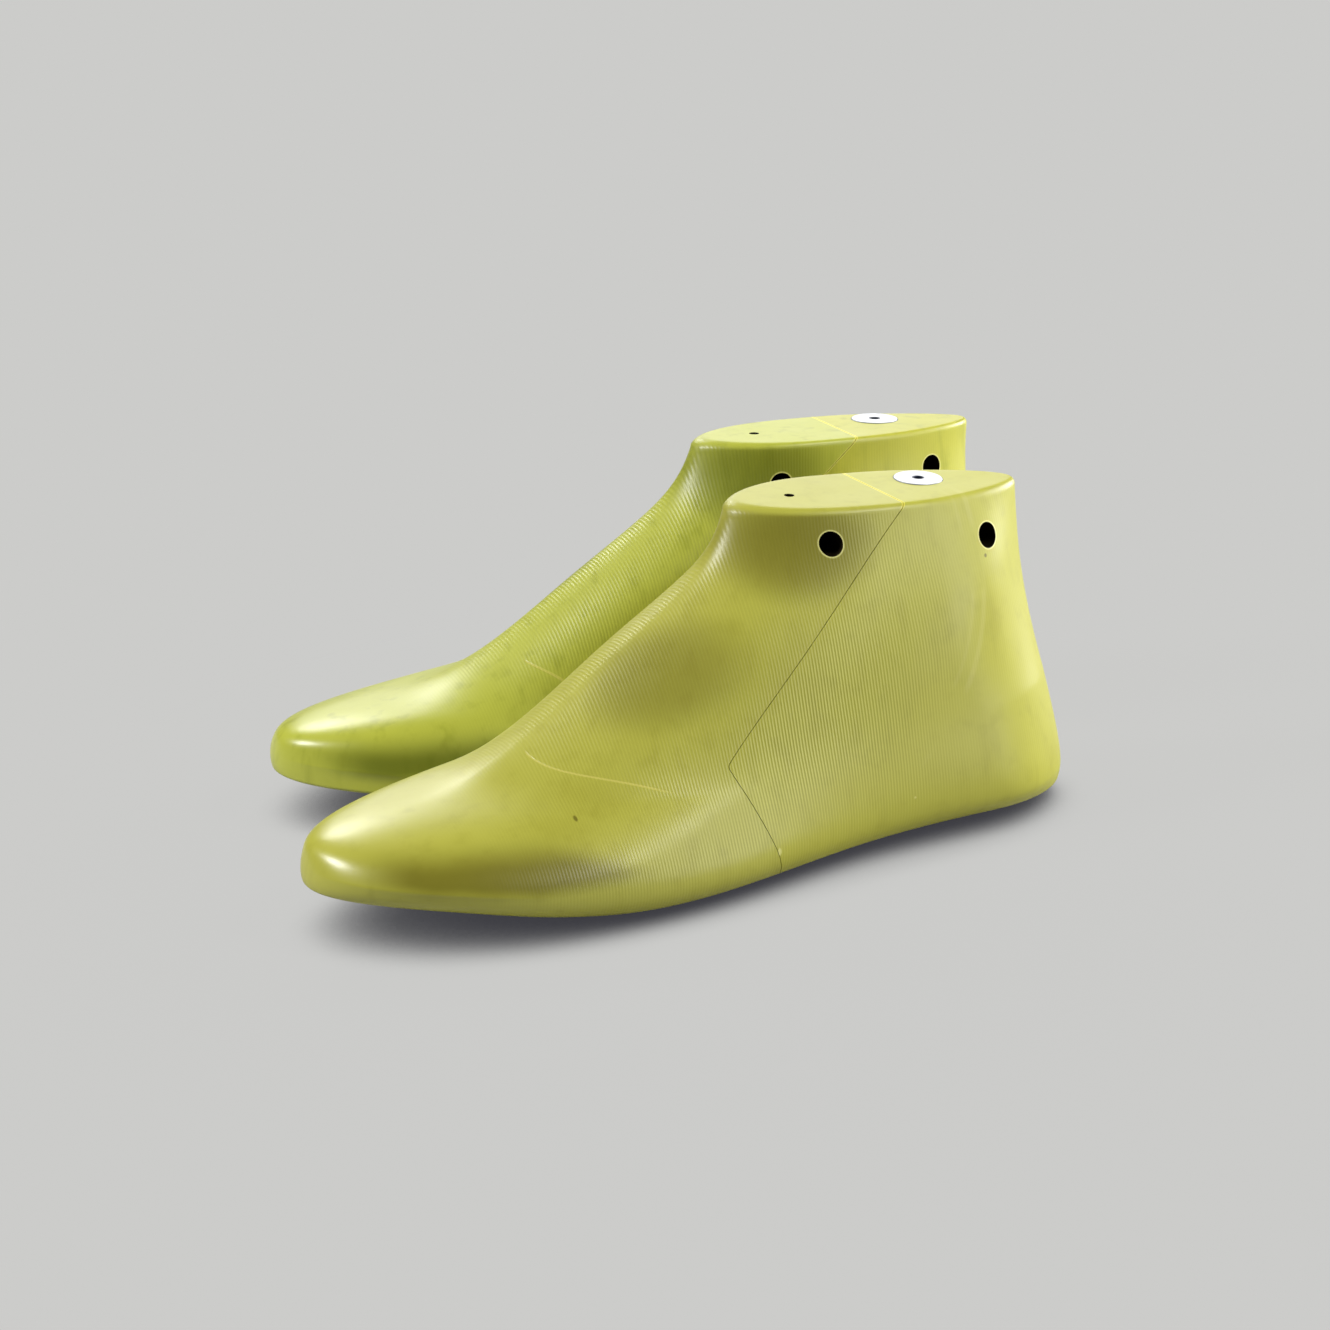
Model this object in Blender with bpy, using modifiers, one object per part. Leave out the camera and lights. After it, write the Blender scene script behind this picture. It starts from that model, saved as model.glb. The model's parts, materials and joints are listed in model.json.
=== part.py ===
# A pair of hinged shoe lasts in turned plastic, left and right, standing side by side.
#
# Each last is sawn in two by a slanting cut that turns back down to the sole. A steel link, fixed
# in the forepart by two cross pins, turns on a third pin in the heel part, so the heel part folds
# and the last gets shorter. Heel end at +X, toes at -X, the left last at -Y, the floor at Z = 0.

import math

import bmesh
import bpy
import numpy as np
from mathutils import Matrix, Vector

mm = 0.001

# Outline of one last from the side. Lengths run forward from the back of the heel.
last_length = 275.2 * mm
heel_set_in = 4 * mm
plate_back_height = 110 * mm
plate_climb = 7.4 * mm
plate_lean = math.radians(1.9)
plate_back = 11.7 * mm
plate_front = 118.3 * mm
toe_spring = 17.2 * mm

# Height of the feather line, where the side meets the sole, at shares of the length.
stations = (0, 0.12, 0.33, 0.50, 0.66, 0.85, 1)
feather_height = np.array((4.7, 4.1, 4.4, 3.2, 4.3, 13, toe_spring / mm)) * mm
plate_front_height = plate_back_height + plate_climb

# How far the middle of the sole bulges below the feather line.
sole_crown = np.array((3.4, 4.5, 2, 2, 4.3, 4, 3)) * mm

# Curve of the heel's back, from the feather line (0) up to the plate (1).
back_levels = (0, 0.25, 0.55, 1)
back_run = np.array((heel_set_in / mm, 3, 9.9, plate_back / mm)) * mm
back_rise = feather_height[0] + np.array((0, 0.14, 0.52, 1)) * (plate_back_height - feather_height[0])

# Curve of the ridge, from the toe tip up the instep to the front of the plate, as shares of
# the way forward and of the way up.
ridge_levels = (0, 0.1, 0.2, 0.3, 0.4, 0.5, 0.68, 0.84, 1)
ridge_forward = np.array((1, 1.0044, 0.995, 0.9555, 0.8202, 0.6354, 0.3104, 0.0815, 0))
ridge_up = np.array((0, 0.046, 0.112, 0.1648, 0.203, 0.2517, 0.5425, 0.7872, 1))
ridge_run = plate_front + ridge_forward * (last_length - plate_front)
ridge_rise = toe_spring + ridge_up * (plate_front_height - toe_spring)

# Half widths at the stations, a row for each level from the feather line up to the plate.
width_levels = (0, 0.15, 0.45, 0.75, 0.91, 1)
outer_half_width = np.array((
    (27, 25, 32, 41.5, 45.5, 41.5, 34),
    (29, 33.5, 37.5, 48, 52.5, 48, 45.5),
    (28.5, 32, 35.5, 38, 41, 37.5, 29.5),
    (16, 25, 28.5, 28, 28.5, 26, 19),
    (14, 18.5, 21, 21.8, 21.6, 20, 17.5),
    (14, 15.5, 18.6, 20, 19.6, 18.8, 17.5),
)) * mm
inner_half_width = np.array((
    (28, 29, 25, 35, 45, 43, 39.5),
    (30, 33, 36, 40, 46.5, 41.5, 34.5),
    (27.5, 33, 37, 38, 40, 41, 43.5),
    (25.5, 25.5, 26, 26.5, 26, 32, 33),
    (17, 18.3, 19.8, 20.8, 20.8, 22.3, 20.5),
    (15, 16, 18.4, 20, 20.4, 20, 18),
)) * mm

# Share of the length over which a loop closes round the heel and round the toe or ridge.
heel_close = (0.13, 0.13, 0.17, 0.32, 0.38, 0.42)
front_close = (0.26, 0.26, 0.5, 0.5, 0.43, 0.38)
toe_swing = -4.7 * mm
swing_start = 0.35
plate_shift = 9.2 * mm
rim_round_back = 2 * mm
rim_round_front = 3.6 * mm
feather_round = 3 * mm

# How the pair stands.
pair_spacing = 94.5 * mm
pair_stagger = 22.1 * mm

# Hinge cut: straight from the plate down to a corner in the waist, then back down to the sole.
cut_at_plate = 64.2 * mm
corner_reach = 145.4 * mm
corner_height = 42.3 * mm
corner_round = 2 * mm
lower_cut_lean = math.radians(18.4)
kerf = 0.6 * mm
hinge_skew = {1: math.radians(9), -1: math.radians(2.5)}  # left last, right last

# Link, pins and spring.
play = 0.35 * mm
link_thickness = 5 * mm
link_radius = 6 * mm
link_tilt = math.radians(12)
front_pin_reach = 58 * mm
rear_pin_reach = 41 * mm
slot_play = 0.4 * mm
fold_angle = math.radians(20)
plastic_under_link = 6 * mm
pin_height = link_radius + plastic_under_link
pin_radius = 2.5 * mm
pin_outer_end = 24 * mm
pin_inner_end = 28 * mm
spring_bore_radius = 3.6 * mm
spring_bore_angle = math.radians(-12)
plunger_length = 7 * mm
spring_length = 9 * mm
spring_wire = 0.9 * mm
spring_turns = 5

# Holes and the bush, whose places differ a little between the two lasts.
cross_hole_radius = 4 * mm
front_hole_run = {"left": 91 * mm, "right": 94.4 * mm}
front_hole_below_plate = {"left": 11.7 * mm, "right": 14.1 * mm}
rear_hole_run = {"left": 32.4 * mm, "right": 34 * mm}
rear_hole_below_plate = {"left": 14.3 * mm, "right": 13.3 * mm}
gauge_hole_radius = 1.75 * mm
gauge_hole_depth = 7 * mm
gauge_hole_run = 95.8 * mm
bush_flange_radius = 8.4 * mm
bush_from_cut = 10.8 * mm
bush_run = cut_at_plate - bush_flange_radius - bush_from_cut
bush_inward = {"left": 14.9 * mm, "right": 2.4 * mm}
bush_proud = 0.3 * mm
bush_flange_thickness = 1.2 * mm
bush_shank_radius = 5 * mm
bush_shank_length = 20 * mm
bush_bore_radius = 1.5 * mm
bush_bore_depth = 14 * mm

# Fineness of the meshes.
side_steps = 26
level_steps = 17
round_sides = 24


def spline(knots, values, at):
    """Natural cubic curve through the values at the knots."""
    knots = np.asarray(knots, float)
    values = np.asarray(values, float)
    at = np.clip(np.asarray(at, float), knots[0], knots[-1])
    gap = np.diff(knots)
    count = len(knots)
    rows = np.eye(count)
    right = np.zeros(values.shape)
    slopes = np.diff(values, axis=0) / gap.reshape((-1,) + (1,) * (values.ndim - 1))
    for i in range(1, count - 1):
        rows[i, i - 1:i + 2] = gap[i - 1], 2 * (gap[i - 1] + gap[i]), gap[i]
        right[i] = 6 * (slopes[i] - slopes[i - 1])
    bend = np.linalg.solve(rows, right)
    i = np.clip(np.searchsorted(knots, at) - 1, 0, count - 2)
    shape = at.shape + (1,) * (values.ndim - 1)
    before = ((knots[i + 1] - at) / gap[i]).reshape(shape)
    after = 1 - before
    step = gap[i].reshape(shape)
    curve = (before ** 3 - before) * bend[i] + (after ** 3 - after) * bend[i + 1]
    return before * values[i] + after * values[i + 1] + curve * step ** 2 / 6


def plate_height(run, side=plate_shift):
    """Height of the flat top plate, which climbs towards the front and leans to the outer side."""
    slope = (plate_front_height - plate_back_height) / (plate_front - plate_back)
    return plate_back_height + slope * (run - plate_back) + math.tan(plate_lean) * (side - plate_shift)


def side_profile(along, level):
    """Run and height on the side: a patch between feather line, heel back, ridge and plate.

    along goes from 0 on the heel's back to 1 on the ridge, level from 0 at the feather
    line to 1 at the plate.
    """
    foot = (heel_set_in + along * (last_length - heel_set_in), spline(stations, feather_height, along))
    top_run = plate_back + along * (plate_front - plate_back)
    top = (top_run, plate_height(top_run))
    back = (spline(back_levels, back_run, level), spline(back_levels, back_rise, level))
    ridge = (spline(ridge_levels, ridge_run, level), spline(ridge_levels, ridge_rise, level))
    corners = (
        ((heel_set_in, last_length), (plate_back, plate_front)),
        ((feather_height[0], toe_spring), (plate_back_height, plate_front_height)),
    )
    patch = []
    for k in range(2):
        low, high = corners[k]
        across = (1 - level) * foot[k] + level * top[k] + (1 - along) * back[k] + along * ridge[k]
        low_mean = (1 - along) * low[0] + along * low[1]
        high_mean = (1 - along) * high[0] + along * high[1]
        patch.append(across - (1 - level) * low_mean - level * high_mean)
    return patch


def centre_line(run, level):
    """Sideways place of the middle: the toe swings out and the plate is set in."""
    swing = np.clip((run / last_length - swing_start) / (1 - swing_start), 0, None) ** 2
    share = level ** 1.5
    return (1 - share) * toe_swing * swing + share * plate_shift


def half_width(table, along, level):
    """Half width from the table, closed at each end as the quarter of an ellipse closes."""
    rows = np.array([spline(stations, row, along) for row in table])
    width = spline(width_levels, rows, level)
    from_heel = np.clip(1 - along / np.interp(level, width_levels, heel_close), 0, 1)
    from_front = np.clip(1 - (1 - along) / np.interp(level, width_levels, front_close), 0, 1)
    return width * np.sqrt(1 - from_heel ** 2) * np.sqrt(1 - from_front ** 2)


def ring(level):
    """One closed loop round the last at a level: outer side forward, inner side back."""
    along = (1 - np.cos(np.linspace(0, np.pi, side_steps + 1))) / 2
    run, rise = side_profile(along, level)
    middle = centre_line(run, level)
    outer = middle - half_width(outer_half_width, along, level)
    inner = middle + half_width(inner_half_width, along, level)
    across = np.concatenate((outer, inner[-2:0:-1]))
    lean = math.tan(plate_lean) * (across - plate_shift) * level ** 4
    return np.stack((
        np.concatenate((run, run[-2:0:-1])),
        across,
        np.concatenate((rise, rise[-2:0:-1])) + lean,
    ), axis=1)


def drawn_in(loop, inset):
    """The loop moved inwards, seen from above."""
    ahead = np.roll(loop, -1, axis=0) - np.roll(loop, 1, axis=0)
    inward = np.stack((-ahead[:, 1], ahead[:, 0]), axis=1)
    moved = loop.copy()
    moved[:, :2] += inward / np.linalg.norm(inward, axis=1)[:, None] * np.reshape(inset, (-1, 1))
    return moved


def rim_radius(run):
    """The rim is rounder at the front of the plate than at its back."""
    share = np.clip((run - plate_back) / (plate_front - plate_back), 0, 1)
    return rim_round_back + (rim_round_front - rim_round_back) * share ** 6


def rim_ring(turn):
    """Loop of the rounded rim: at 0 it is on the side, at a quarter turn on the plate."""
    radius = rim_radius(ring(1)[:, 0])
    sink = radius * (1 - math.sin(turn))
    level = 1 - sink / (110 * mm)
    loop = np.array([ring(share)[j] for j, share in enumerate(level)])
    loop = drawn_in(loop, radius * (1 - math.cos(turn)))
    loop[:, 2] = plate_height(loop[:, 0], loop[:, 1]) - sink
    return loop


def share_of(run):
    """Share of the length, from the back of the feather line to the toe tip."""
    return (run - heel_set_in) / (last_length - heel_set_in)


def feather_at(run):
    """Height of the feather line over a run."""
    return spline(stations, feather_height, share_of(run))


def feather_ring(turn):
    """Loop of the rounded feather edge: at 0 it is on the side, at a quarter turn on the sole."""
    low = feather_round * (1 - math.sin(turn)) / (70 * mm)
    return drawn_in(ring(low), feather_round * (1 - math.cos(turn)))


def sole_ring(share):
    """A loop of the sole: the feather edge drawn in by a share, sagging by the sole's crown."""
    loop = feather_ring(math.pi / 2)
    middle = (heel_set_in + last_length) / 2
    end_share = share * max(outer_half_width[0]) / (last_length / 2)
    across = loop[:, 1] - centre_line(loop[:, 0], 0.0)
    run = middle + (loop[:, 0] - middle) * (1 - end_share)
    sag = spline(stations, sole_crown, share_of(run)) * (1 - (1 - share) ** 2)
    rise = feather_at(run) - sag
    return np.stack((run, centre_line(run, 0.0) + across * (1 - share), rise), axis=1)


def body_rings():
    """All loops of a last, from the middle of the sole to the plate."""
    loops = [sole_ring(share) for share in (0.85, 0.55, 0.25)]
    loops += [feather_ring(turn) for turn in np.radians((90, 60, 30))]
    low = feather_round / (70 * mm)
    high = 1 - rim_radius(ring(1)[:, 0]) / (110 * mm)
    for step in np.linspace(0, 1, level_steps) ** 1.1:
        loops.append(np.array([ring(share)[j] for j, share in enumerate(low + (high - low) * step)]))
    loops += [rim_ring(turn) for turn in np.radians((30, 60, 90))]
    return np.array(loops)


def cut_frame():
    """Hinge pin's place, the cut's corner and its two ways down, seen from the side."""
    top = Vector((cut_at_plate, plate_height(cut_at_plate)))
    corner = Vector((corner_reach, corner_height))
    upper_way = (corner - top).normalized()
    lower_way = Vector((-math.sin(lower_cut_lean), -math.cos(lower_cut_lean)))
    # The pin stands square behind the end of the upper cut, so nothing binds in the fold.
    square = Vector((-upper_way.y, upper_way.x))
    return corner - square * (corner_height - pin_height) / square.y, corner, upper_way, lower_way


pivot, cut_corner, upper_way, lower_way = cut_frame()
link_way = Vector((math.cos(link_tilt), math.sin(link_tilt)))
bore_way = Vector((-math.cos(spring_bore_angle), -math.sin(spring_bore_angle)))
front_pin = pivot + link_way * front_pin_reach
rear_pin = pivot + link_way * rear_pin_reach

for old in list(bpy.data.objects):
    bpy.data.objects.remove(old)

part = bpy.data.collections.new("cobbler_last")
cutters = bpy.data.collections.new("cutters")
for group in (part, cutters):
    bpy.context.scene.collection.children.link(group)


def material(name, colour, roughness, metallic=0.0):
    """A plain surface of one colour."""
    surface = bpy.data.materials.new(name)
    surface.use_nodes = True
    shader = surface.node_tree.nodes["Principled BSDF"]
    shader.inputs["Base Color"].default_value = (*colour, 1)
    shader.inputs["Roughness"].default_value = roughness
    shader.inputs["Metallic"].default_value = metallic
    return surface


plastic = material("last_plastic", (0.50, 0.50, 0.15), 0.35)
plug_plastic = material("plug_plastic", (0.46, 0.46, 0.14), 0.45)
bush_steel = material("bush_steel", (0.78, 0.80, 0.82), 0.25, 1.0)
link_steel = material("link_steel", (0.45, 0.46, 0.48), 0.40, 1.0)
pin_steel = material("pin_steel", (0.60, 0.61, 0.63), 0.30, 1.0)
spring_steel = material("spring_steel", (0.35, 0.36, 0.38), 0.35, 1.0)


def add(name, mesh, parent, surface=None, offset=(0, 0, 0)):
    """Places a mesh in the world: a piece where it has a surface, otherwise a cutter."""
    item = bpy.data.objects.new(name, mesh)
    item.parent = parent
    item.location = offset
    if surface:
        mesh.materials.clear()
        mesh.materials.append(surface)
        part.objects.link(item)
    else:
        item.hide_render = True
        item.display_type = "WIRE"
        cutters.objects.link(item)
    return item


def cut(item, *tools, operation="DIFFERENCE"):
    """Cuts tools out of a piece, or keeps only what lies inside them."""
    for tool in tools:
        step = item.modifiers.new(tool.name, "BOOLEAN")
        step.operation = operation
        step.object = tool
    return item


def place(run, side, rise, hand):
    """Point of a last's own frame: runs forward are -X, and the inner side is at hand * Y."""
    return Vector((-run, hand * side, rise))


def body_mesh(name, hand):
    """Closed loft through the loops, with its ends closed by strips across."""
    loops = body_rings()
    count = loops.shape[1]
    shell = bmesh.new()
    rows = [[shell.verts.new(place(*point, hand)) for point in loop] for loop in loops]
    for low, high in zip(rows, rows[1:]):
        for j in range(count):
            k = (j + 1) % count
            shell.faces.new((low[j], low[k], high[k], high[j]))
    for row in (rows[0], rows[-1]):
        for j in range(count // 2):
            corners = (row[j], row[j + 1], row[-j - 1], row[(count - j) % count])
            shell.faces.new(dict.fromkeys(corners))
    bmesh.ops.recalc_face_normals(shell, faces=shell.faces)
    if shell.calc_volume(signed=True) < 0:
        bmesh.ops.reverse_faces(shell, faces=shell.faces)
    mesh = bpy.data.meshes.new(name)
    shell.to_mesh(mesh)
    shell.free()
    smooth(mesh)
    return mesh


def smooth(mesh, angle=40):
    """Shades round faces smooth and keeps edges sharper than the angle."""
    mesh.shade_smooth()
    mesh.set_sharp_from_angle(angle=math.radians(angle))


def rod_mesh(name, start, end, radius, sides=round_sides):
    """Cylinder between two points."""
    axis = end - start
    middle = Matrix.Translation((start + end) / 2) @ axis.to_track_quat("Z", "Y").to_matrix().to_4x4()
    shell = bmesh.new()
    bmesh.ops.create_cone(shell, cap_ends=True, segments=sides, radius1=radius, radius2=radius,
                          depth=axis.length, matrix=middle)
    mesh = bpy.data.meshes.new(name)
    shell.to_mesh(mesh)
    shell.free()
    smooth(mesh)
    return mesh


def solid_of(curve_object):
    """Turns a curve into one closed mesh and removes the curve."""
    bpy.context.view_layer.update()
    state = bpy.context.evaluated_depsgraph_get()
    mesh = bpy.data.meshes.new_from_object(curve_object.evaluated_get(state))
    shell = bmesh.new()
    shell.from_mesh(mesh)
    bmesh.ops.remove_doubles(shell, verts=shell.verts, dist=1e-6)
    bmesh.ops.recalc_face_normals(shell, faces=shell.faces)
    shell.to_mesh(mesh)
    shell.free()
    bpy.data.objects.remove(curve_object)
    return mesh


def slab_mesh(name, outline, thickness, hand, holes=()):
    """Flat outline of (run, rise) points, as thick as asked, standing in the hinge's plane."""
    curve = bpy.data.curves.new(name, "CURVE")
    curve.dimensions = "2D"
    curve.fill_mode = "BOTH"
    curve.extrude = thickness / 2
    for loop in (outline, *holes):
        line = curve.splines.new("POLY")
        line.points.add(len(loop) - 1)
        for point, (run, rise) in zip(line.points, loop):
            point.co = (-run, rise, 0, 1)
        line.use_cyclic_u = True
    flat = bpy.data.objects.new(name, curve)
    part.objects.link(flat)
    mesh = solid_of(flat)
    mesh.transform(hinge_turn(hand) @ Matrix.Rotation(math.pi / 2, 4, "X"))
    smooth(mesh)
    return mesh


def arc(centre, radius, start, end, steps):
    """Points of an arc, with its angles measured from forward towards up."""
    angles = [start + (end - start) * k / steps for k in range(steps + 1)]
    return [centre + Vector((math.cos(a), math.sin(a))) * radius for a in angles]


def pill(start, end, radius, steps=10):
    """Outline of a bar with round ends."""
    lean = math.atan2(*(end - start).yx)
    nose = arc(end, radius, lean - math.pi / 2, lean + math.pi / 2, steps)
    tail = arc(start, radius, lean + math.pi / 2, lean + 3 * math.pi / 2, steps)
    return nose + tail


def hinge_turn(hand):
    """Turns the cut and the hinge about the pin's place, their inner side forward."""
    spot = place(pivot.x, 0, 0, hand)
    turn = Matrix.Rotation(hand * hinge_skew[hand], 4, "Z")
    return Matrix.Translation(spot) @ turn @ Matrix.Translation(-spot)


def ahead_of(way):
    """Direction square to a way down the cut, pointing ahead of it."""
    return Vector((-way.y, way.x))


def cut_face(offset):
    """Points of the cut from above the plate to the foot of the pin's lower perpendicular."""
    high = cut_corner - upper_way * ((160 * mm - cut_corner.y) / -upper_way.y)
    bend = math.acos(upper_way.dot(lower_way))
    setback = corner_round * math.tan(bend / 2)
    middle = cut_corner - upper_way * setback - ahead_of(upper_way) * corner_round
    radius = corner_round + offset
    start = math.atan2(*ahead_of(upper_way).yx)
    face = [high + ahead_of(upper_way) * offset] + arc(middle, radius, start, start - bend, 6)
    foot = cut_corner + lower_way * (pivot - cut_corner).dot(lower_way)
    return face + [foot + ahead_of(lower_way) * offset]


def region(face, reach):
    """Closes a face into the region between it and a run."""
    return face + [Vector((reach, face[-1].y)), Vector((reach, face[0].y))]


def region_behind():
    """What is sawn off the forepart: everything behind the cut."""
    face = cut_face(kerf / 2)
    return region(face + [face[-1] + lower_way * 30 * mm], -40 * mm)


def region_ahead():
    """What is sawn off the heel part; low down it gives way so that the fold has room."""
    face = cut_face(-kerf / 2)
    radius = (face[-1] - pivot).length
    start = math.atan2(*(face[-1] - pivot).yx)
    low = arc(pivot, radius, start, start - math.radians(40), 8)[1:]
    return region(face + low + [low[-1] + Vector((0, -30 * mm))], last_length + 40 * mm)


def turned(name, profile, parent, sides, surface, offset):
    """Turned solid from an open profile of (radius, height), top to bottom, touching the axis."""
    mesh = bpy.data.meshes.new(name)
    points = [(radius, 0, height) for radius, height in profile]
    mesh.from_pydata(points, [(k, k + 1) for k in range(len(points) - 1)], [])
    item = add(name, mesh, parent, surface, offset)
    screw = item.modifiers.new("turn", "SCREW")
    screw.steps = sides
    screw.render_steps = sides
    screw.use_merge_vertices = True
    screw.merge_threshold = 1e-6
    screw.use_smooth_shade = True
    return item


def link_slot_in_heel():
    """Room for the link in the heel part: the link's own shape, swung down through the fold."""
    radius = link_radius + slot_play
    reach = (cut_corner - pivot).length
    lowest = link_tilt - fold_angle - math.radians(1)
    up = Vector((-math.sin(link_tilt), math.cos(link_tilt)))
    down = Vector((math.sin(lowest), -math.cos(lowest)))
    tail = arc(pivot, radius, link_tilt + math.pi / 2, lowest + 3 * math.pi / 2, 12)
    far_low = pivot + Vector((math.cos(lowest), math.sin(lowest))) * reach + down * radius
    far_high = pivot + link_way * reach + up * radius
    return tail + [far_low, far_high]


def spring_mesh(name, hand):
    """Coil spring between the plunger and the floor of its bore, one unbroken wire."""
    start = pivot + bore_way * (link_radius + 2 * play + plunger_length)
    radius = spring_bore_radius - play - 0.4 * mm - spring_wire / 2
    lead = Vector((bore_way.x, 0, bore_way.y))
    across = Vector((0, 1, 0))
    square = lead.cross(across)
    turn = hinge_turn(hand)
    curve = bpy.data.curves.new(name, "CURVE")
    curve.dimensions = "3D"
    curve.bevel_depth = spring_wire / 2
    curve.bevel_resolution = 1
    curve.use_fill_caps = True
    line = curve.splines.new("POLY")
    steps = spring_turns * 10
    line.points.add(steps)
    run = spring_length - spring_wire
    gap = run / spring_turns - spring_wire
    print("spring: least gap between turns", round(gap / mm, 2), "mm")
    for k, point in enumerate(line.points):
        angle = 2 * math.pi * spring_turns * k / steps
        spot = Vector((start.x, 0, start.y)) + lead * (spring_wire / 2 + run * k / steps)
        spot += (across * math.cos(angle) + square * math.sin(angle)) * radius
        point.co = (*(turn @ place(*spot, hand)), 1)
    coil = bpy.data.objects.new(name, curve)
    part.objects.link(coil)
    mesh = solid_of(coil)
    smooth(mesh, 60)
    return mesh


def cross_rod(name, centre, low, high, radius, hand, turn=Matrix()):
    """Cylinder straight across the foot, from low to high, the inner side being positive."""
    ends = [turn @ place(centre.x, side, centre.y, hand) for side in (low, high)]
    return rod_mesh(name, *ends, radius)


def build_last(side, hand, corner):
    """One last: its two bodies and everything in them."""
    frame = bpy.data.objects.new(side + "_last", None)
    frame.location = corner
    hinge = bpy.data.objects.new(side + "_hinge", None)
    hinge.parent = frame
    hinge.location = place(pivot.x, 0, pivot.y, hand)
    for holder in (frame, hinge):
        part.objects.link(holder)
    back = -hinge.location
    beyond = 90 * mm
    turn = hinge_turn(hand)

    # Bodies and the cut between them.
    forepart = add(side + "_forepart", body_mesh("forepart", hand), frame, plastic)
    heel_part = add(side + "_heel_part", body_mesh("heel_part", hand), hinge, plastic, back)
    cut(forepart, add(side + "_behind_cut", slab_mesh("behind", region_behind(), 2 * beyond, hand), frame))
    cut(heel_part, add(side + "_ahead_of_cut", slab_mesh("ahead", region_ahead(), 2 * beyond, hand), frame))

    # Link in its slots.
    slot_width = link_thickness + 2 * slot_play
    fixed_slot = slab_mesh("slot", pill(pivot, front_pin, link_radius + slot_play), slot_width, hand)
    swept_slot = slab_mesh("swept_slot", link_slot_in_heel(), slot_width, hand)
    cut(forepart, add(side + "_link_slot", fixed_slot, frame))
    cut(heel_part, add(side + "_swept_slot", swept_slot, frame))
    spots = (pivot, rear_pin, front_pin)
    eyes = [arc(spot, pin_radius + play, 0, 2 * math.pi * 19 / 20, 19) for spot in spots]
    link = slab_mesh("hinge_link", pill(pivot, front_pin, link_radius), link_thickness, hand, eyes)
    add(side + "_hinge_link", link, frame, link_steel)

    # Pins, driven in from the inner side and covered by plugs trimmed flush.
    pins = (
        ("hinge_pin", pivot, heel_part, hinge, back),
        ("rear_link_pin", rear_pin, forepart, frame, (0, 0, 0)),
        ("front_link_pin", front_pin, forepart, frame, (0, 0, 0)),
    )
    skin = add(side + "_outer_form", body_mesh("outer_form", hand), frame)
    for name, spot, owner, holder, offset in pins:
        low = -pin_outer_end
        hole = cross_rod(name + "_hole", spot, low - play, beyond, pin_radius + play, hand, turn)
        cut(owner, add(f"{side}_{name}_hole", hole, frame))
        pin = cross_rod(name, spot, low, pin_inner_end, pin_radius, hand, turn)
        add(f"{side}_{name}", pin, holder, pin_steel, offset)
        plug = cross_rod(name + "_plug", spot, pin_inner_end + play, beyond, pin_radius, hand, turn)
        cut(add(f"{side}_{name}_plug", plug, holder, plug_plastic, offset), skin, operation="INTERSECT")

    # Spring-loaded plunger behind the link's round end.
    def down_bore(distance):
        spot = pivot + bore_way * distance
        return turn @ place(spot.x, 0, spot.y, hand)

    tip = link_radius + play
    spring_start = tip + plunger_length + play
    bore_end = spring_start + spring_length + play
    bore = rod_mesh("spring_bore", down_bore(tip - 2 * mm), down_bore(bore_end), spring_bore_radius)
    cut(heel_part, add(side + "_spring_bore", bore, frame))
    fit = spring_bore_radius - play
    nose = back + down_bore(tip)
    plunger = turned(side + "_detent_plunger", plunger_profile(fit), hinge, 20, pin_steel, nose)
    plunger.rotation_euler = (down_bore(0) - down_bore(1)).to_track_quat("Z", "Y").to_euler()
    add(side + "_detent_spring", spring_mesh("detent_spring", hand), hinge, spring_steel, back)

    # Cross holes, the small gauge hole and the bush in the plate.
    holes = (
        ("front_hole", forepart, front_hole_run[side], front_hole_below_plate[side]),
        ("rear_hole", heel_part, rear_hole_run[side], rear_hole_below_plate[side]),
    )
    for name, owner, run, below in holes:
        spot = Vector((run, plate_height(run) - below))
        hole = cross_rod(name, spot, -beyond, beyond, cross_hole_radius, hand)
        cut(owner, add(f"{side}_{name}", hole, frame))
    slope = (plate_front_height - plate_back_height) / (plate_front - plate_back)
    up = Vector((slope, -hand * math.tan(plate_lean), 1)).normalized()
    gauge_top = place(gauge_hole_run, plate_shift, plate_height(gauge_hole_run), hand)
    gauge_ends = (gauge_top + up * 5 * mm, gauge_top - up * gauge_hole_depth)
    gauge = rod_mesh("gauge_hole", *gauge_ends, gauge_hole_radius, 16)
    cut(forepart, add(side + "_gauge_hole", gauge, frame))
    inward = bush_inward[side]
    plate = place(bush_run, inward, plate_height(bush_run, inward), hand)
    seat = plate - up * (bush_flange_thickness - bush_proud)
    socket = rod_mesh("bush_hole", plate + up * 5 * mm, seat - up * (bush_shank_length + play),
                      bush_shank_radius + play)
    recess = rod_mesh("bush_recess", plate + up * 5 * mm, seat - up * play, bush_flange_radius + play, 32)
    cut(heel_part, add(side + "_bush_hole", socket, frame), add(side + "_bush_recess", recess, frame))
    bush = turned(side + "_jack_bush", bush_profile(), hinge, 32, bush_steel, back + seat)
    bush.rotation_euler = up.to_track_quat("Z", "Y").to_euler()


def plunger_profile(radius):
    """Plunger with a domed nose, from the nose down to the flat tail."""
    dome = [(radius * math.sin(a), radius * 0.5 * (math.cos(a) - 1)) for a in np.radians((0, 30, 60, 90))]
    return dome + [(radius, -plunger_length), (0, -plunger_length)]


def bush_profile():
    """Flanged bush with a blind bore, from the bore's floor up over the flange to the shank's end."""
    top = bush_flange_thickness
    edge = 0.4 * mm
    return [
        (0, top - bush_bore_depth),
        (bush_bore_radius, top - bush_bore_depth),
        (bush_bore_radius, top - edge),
        (bush_bore_radius + edge, top),
        (bush_flange_radius - edge, top),
        (bush_flange_radius, top - edge),
        (bush_flange_radius, 0),
        (bush_shank_radius, 0),
        (bush_shank_radius, edge - bush_shank_length),
        (bush_shank_radius - edge, -bush_shank_length),
        (0, -bush_shank_length),
    ]


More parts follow.
